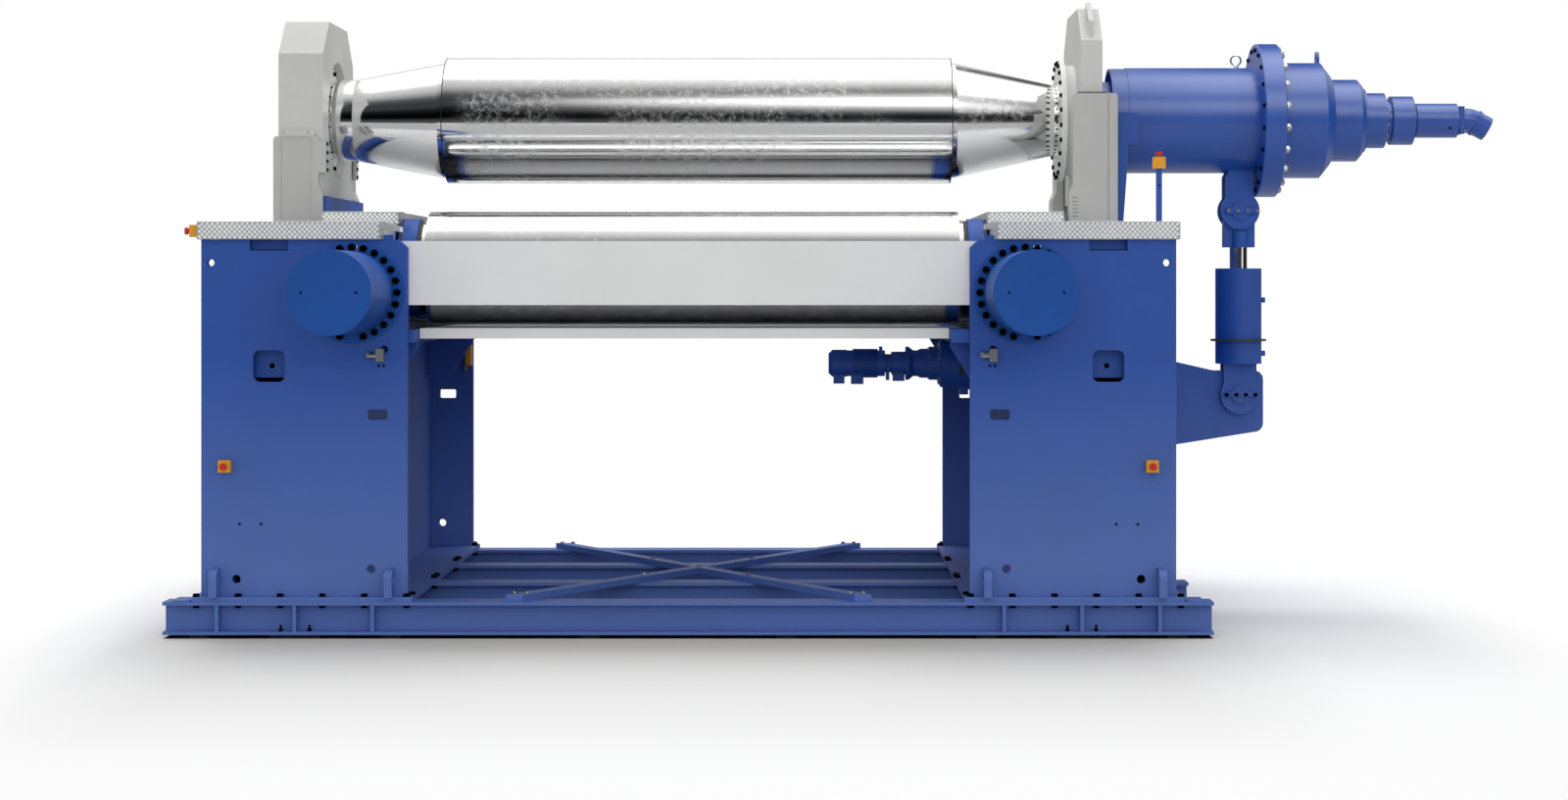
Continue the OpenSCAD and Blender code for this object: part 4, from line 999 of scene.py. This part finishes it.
def makeWorld():
    world = bpy.data.worlds.new("studioWorld")
    bpy.context.scene.world = world
    world.use_nodes = True
    tree = world.node_tree
    tree.nodes.clear()
    ray = addNode(tree, "ShaderNodeLightPath").outputs
    seen = maths(tree, "ADD", maths(tree, "ADD", ray["Is Camera Ray"], ray["Is Glossy Ray"]),
                 ray["Is Transmission Ray"])
    strength = mapRange(tree, seen, 0.0, 1.0, worldLight["onSurfaces"], worldLight["seen"])
    sky = addNode(tree, "ShaderNodeBackground", {"Strength": strength}, in_Color=(1, 1, 1, 1))
    addNode(tree, "ShaderNodeOutputWorld", {"Surface": sky.outputs[0]})


# the reflector's tones by angle over the machine, from the front floor line (0) to the back one
# (180), with a gain where brighter than white: the drive side has a light panel in front, the
# far side is dark to well above it, and both have the same back
backTones = [
    (84, "#ffffff", 1.7), (105, "#ffffff", 1.5), (150, "#ffffff"), (156, "#d6d6d6"),
    (168, "#bdbdbd"), (174, "#9c9c9c"), (180, "#8a8a8a")]
driveSideTones = [
    (0, "#404142"), (1.8, "#242527"), (5, "#17181a"), (9, "#28292b"), (12.6, "#49494b"),
    (16, "#7d7d7d"), (20, "#b0b0af"), (23.6, "#d3d3d3"), (28, "#f4f4f4", 1.6),
    (33, "#ffffff", 2.3), (38, "#ffffff", 2.0), (42, "#ebebea"), (46, "#cacac9"), (50, "#9d9d9c"),
    (54, "#8b8b8b"), (58, "#9a9b9b"), (62, "#b8b8b7"), (66, "#d0d0d0"), (71, "#efefee"),
    (78, "#ffffff")] + backTones
farSideTones = [
    (0, "#404142"), (1.8, "#2f3032"), (5, "#040405"), (13, "#040405"), (20, "#161718"),
    (24, "#232426"), (28, "#3a3b3d"), (38, "#3b3b3f"), (46, "#4f5052"), (50, "#6a6a6b"),
    (54, "#8b8b8c"), (58, "#a5a5a4"), (62, "#b8b8b7"), (66, "#c8c8c9"), (71, "#d1d1d1"),
    (76, "#e4e4e4"), (79, "#ffffff")] + backTones
# a broad panel that the drive tube sees
panelTones = [
    (0, "#202020"), (8, "#707070"), (14, "#b4b4b4"), (20, "#ffffff", 2.8), (32, "#ffffff", 3.4),
    (44, "#ffffff", 1.6), (52, "#ffffff", 1.5), (64, "#ffffff", 3.8), (100, "#ffffff", 3.6),
    (116, "#ffffff", 1.3), (130, "#606060"), (180, "#202020")]
# where it changes along X and with height, and a strip that the balance cylinder sees
dome = {
    "radius": 26.0, "level": 2.1, "segments": (64, 48), "clouds": 0.9, "cloudShift": 3.2,
    "driveSide": (-4.2, 2.3),
    "driveEnd": (14.0, 9.0), "dimEnds": (17.0, 23.0), "dimBelow": (14.0, 6.0),
    "dimTone": "#232426",
    "panel": (4.6, 6.6), "stripDegrees": 52, "stripHalfDegrees": 6, "stripGain": 1.6,
}


def makeReflector():
    # a dome that only shiny surfaces see, graded by angle and by side
    shape = bmesh.new()
    around, upward = dome["segments"]
    bmesh.ops.create_uvsphere(shape, u_segments=around, v_segments=upward, radius=dome["radius"],
                              matrix=Matrix.Translation((0, 0, dome["level"])))
    material, tree = emptyMaterial("reflectorLight")
    place = objectPlace(tree)
    parts = splitPlace(tree, place)
    height = maths(tree, "SUBTRACT", parts["Z"], dome["level"])
    depth = maths(tree, "MULTIPLY", parts["Y"], -1.0)
    over = maths(tree, "DIVIDE", maths(tree, "ARCTAN2", height, depth), math.pi)
    driveSide, farSide, panel = (
        colourRamp(tree, over, [(tone[0] / 180, hexColour(*tone[1:])) for tone in tones])
        for tones in (driveSideTones, farSideTones, panelTones))
    cloud = addNoise(tree, place, dome["clouds"], 6.0, 0.7)
    shift = maths(tree, "MULTIPLY_ADD", cloud, dome["cloudShift"], -dome["cloudShift"] / 2)
    rise = mapRange(tree, maths(tree, "ADD", parts["X"], shift), *dome["driveSide"])
    fall = mapRange(tree, parts["X"], *dome["driveEnd"])
    light = mixColours(tree, maths(tree, "MULTIPLY", rise, fall), farSide, driveSide)
    ends = mapRange(tree, maths(tree, "ABSOLUTE", parts["X"]), *dome["dimEnds"])
    low = mapRange(tree, height, *dome["dimBelow"])
    light = mixColours(tree, maths(tree, "MULTIPLY", ends, low), light, hexColour(dome["dimTone"]))
    panelOn = maths(tree, "MULTIPLY", mapRange(tree, parts["X"], *dome["panel"]), fall)
    light = mixColours(tree, panelOn, light, panel)
    strip = maths(tree, "COMPARE", maths(tree, "ARCTAN2", parts["X"], depth),
                  math.radians(dome["stripDegrees"]), math.radians(dome["stripHalfDegrees"]))
    light = mixColours(tree, maths(tree, "MULTIPLY", strip, low), light,
                       hexColour("#ffffff", dome["stripGain"]), "ADD")
    shaderOut(tree, addNode(tree, "ShaderNodeEmission", {"Color": light}, in_Strength=1.0))
    screen = stageMesh("reflector", shape, material)
    for ray in ("camera", "diffuse", "transmission", "shadow"):
        setattr(screen, "visible_" + ray, False)


lamps = {
    "keyLamp": {"place": (0, 5, 14), "target": (0, 0, 2), "size": (14, 8), "power": 1050},
    "fillLamp": {"place": (2, -24, 6), "target": (1, 0, 2), "size": (20, 8), "power": 1150},
}


def addLamp(name, place, target, size, power):
    light = bpy.data.lights.new(name, "AREA")
    light.shape = "RECTANGLE"
    light.size, light.size_y = size
    light.energy = power
    lamp = newObject(name, light)
    lamp.location = place
    lamp.rotation_euler = (Vector(target) - Vector(place)).to_track_quat("-Z", "Y").to_euler()
    lamp.visible_glossy = False


# level view along +Y from the operator's side
view = {"place": (0.709, -18.815, 2.135), "sensor": 36.0, "lens": 64.125,
        "shift": (-0.0131, -0.07125), "clipEnd": 300}


def makeCamera():
    camera = bpy.data.cameras.new("camera")
    camera.sensor_width = view["sensor"]
    camera.lens = view["lens"]
    camera.shift_x, camera.shift_y = view["shift"]
    camera.clip_end = view["clipEnd"]
    holder = newObject("camera", camera)
    holder.location = view["place"]
    holder.rotation_euler = (math.radians(90), 0, 0)
    bpy.context.scene.camera = holder


makeFloor()
makeBeamShade()
makeWorld()
makeReflector()
makeCamera()
for name, settings in lamps.items():
    addLamp(name, **settings)
bpy.context.scene.view_settings.view_transform = "Standard"
print("studio ready")
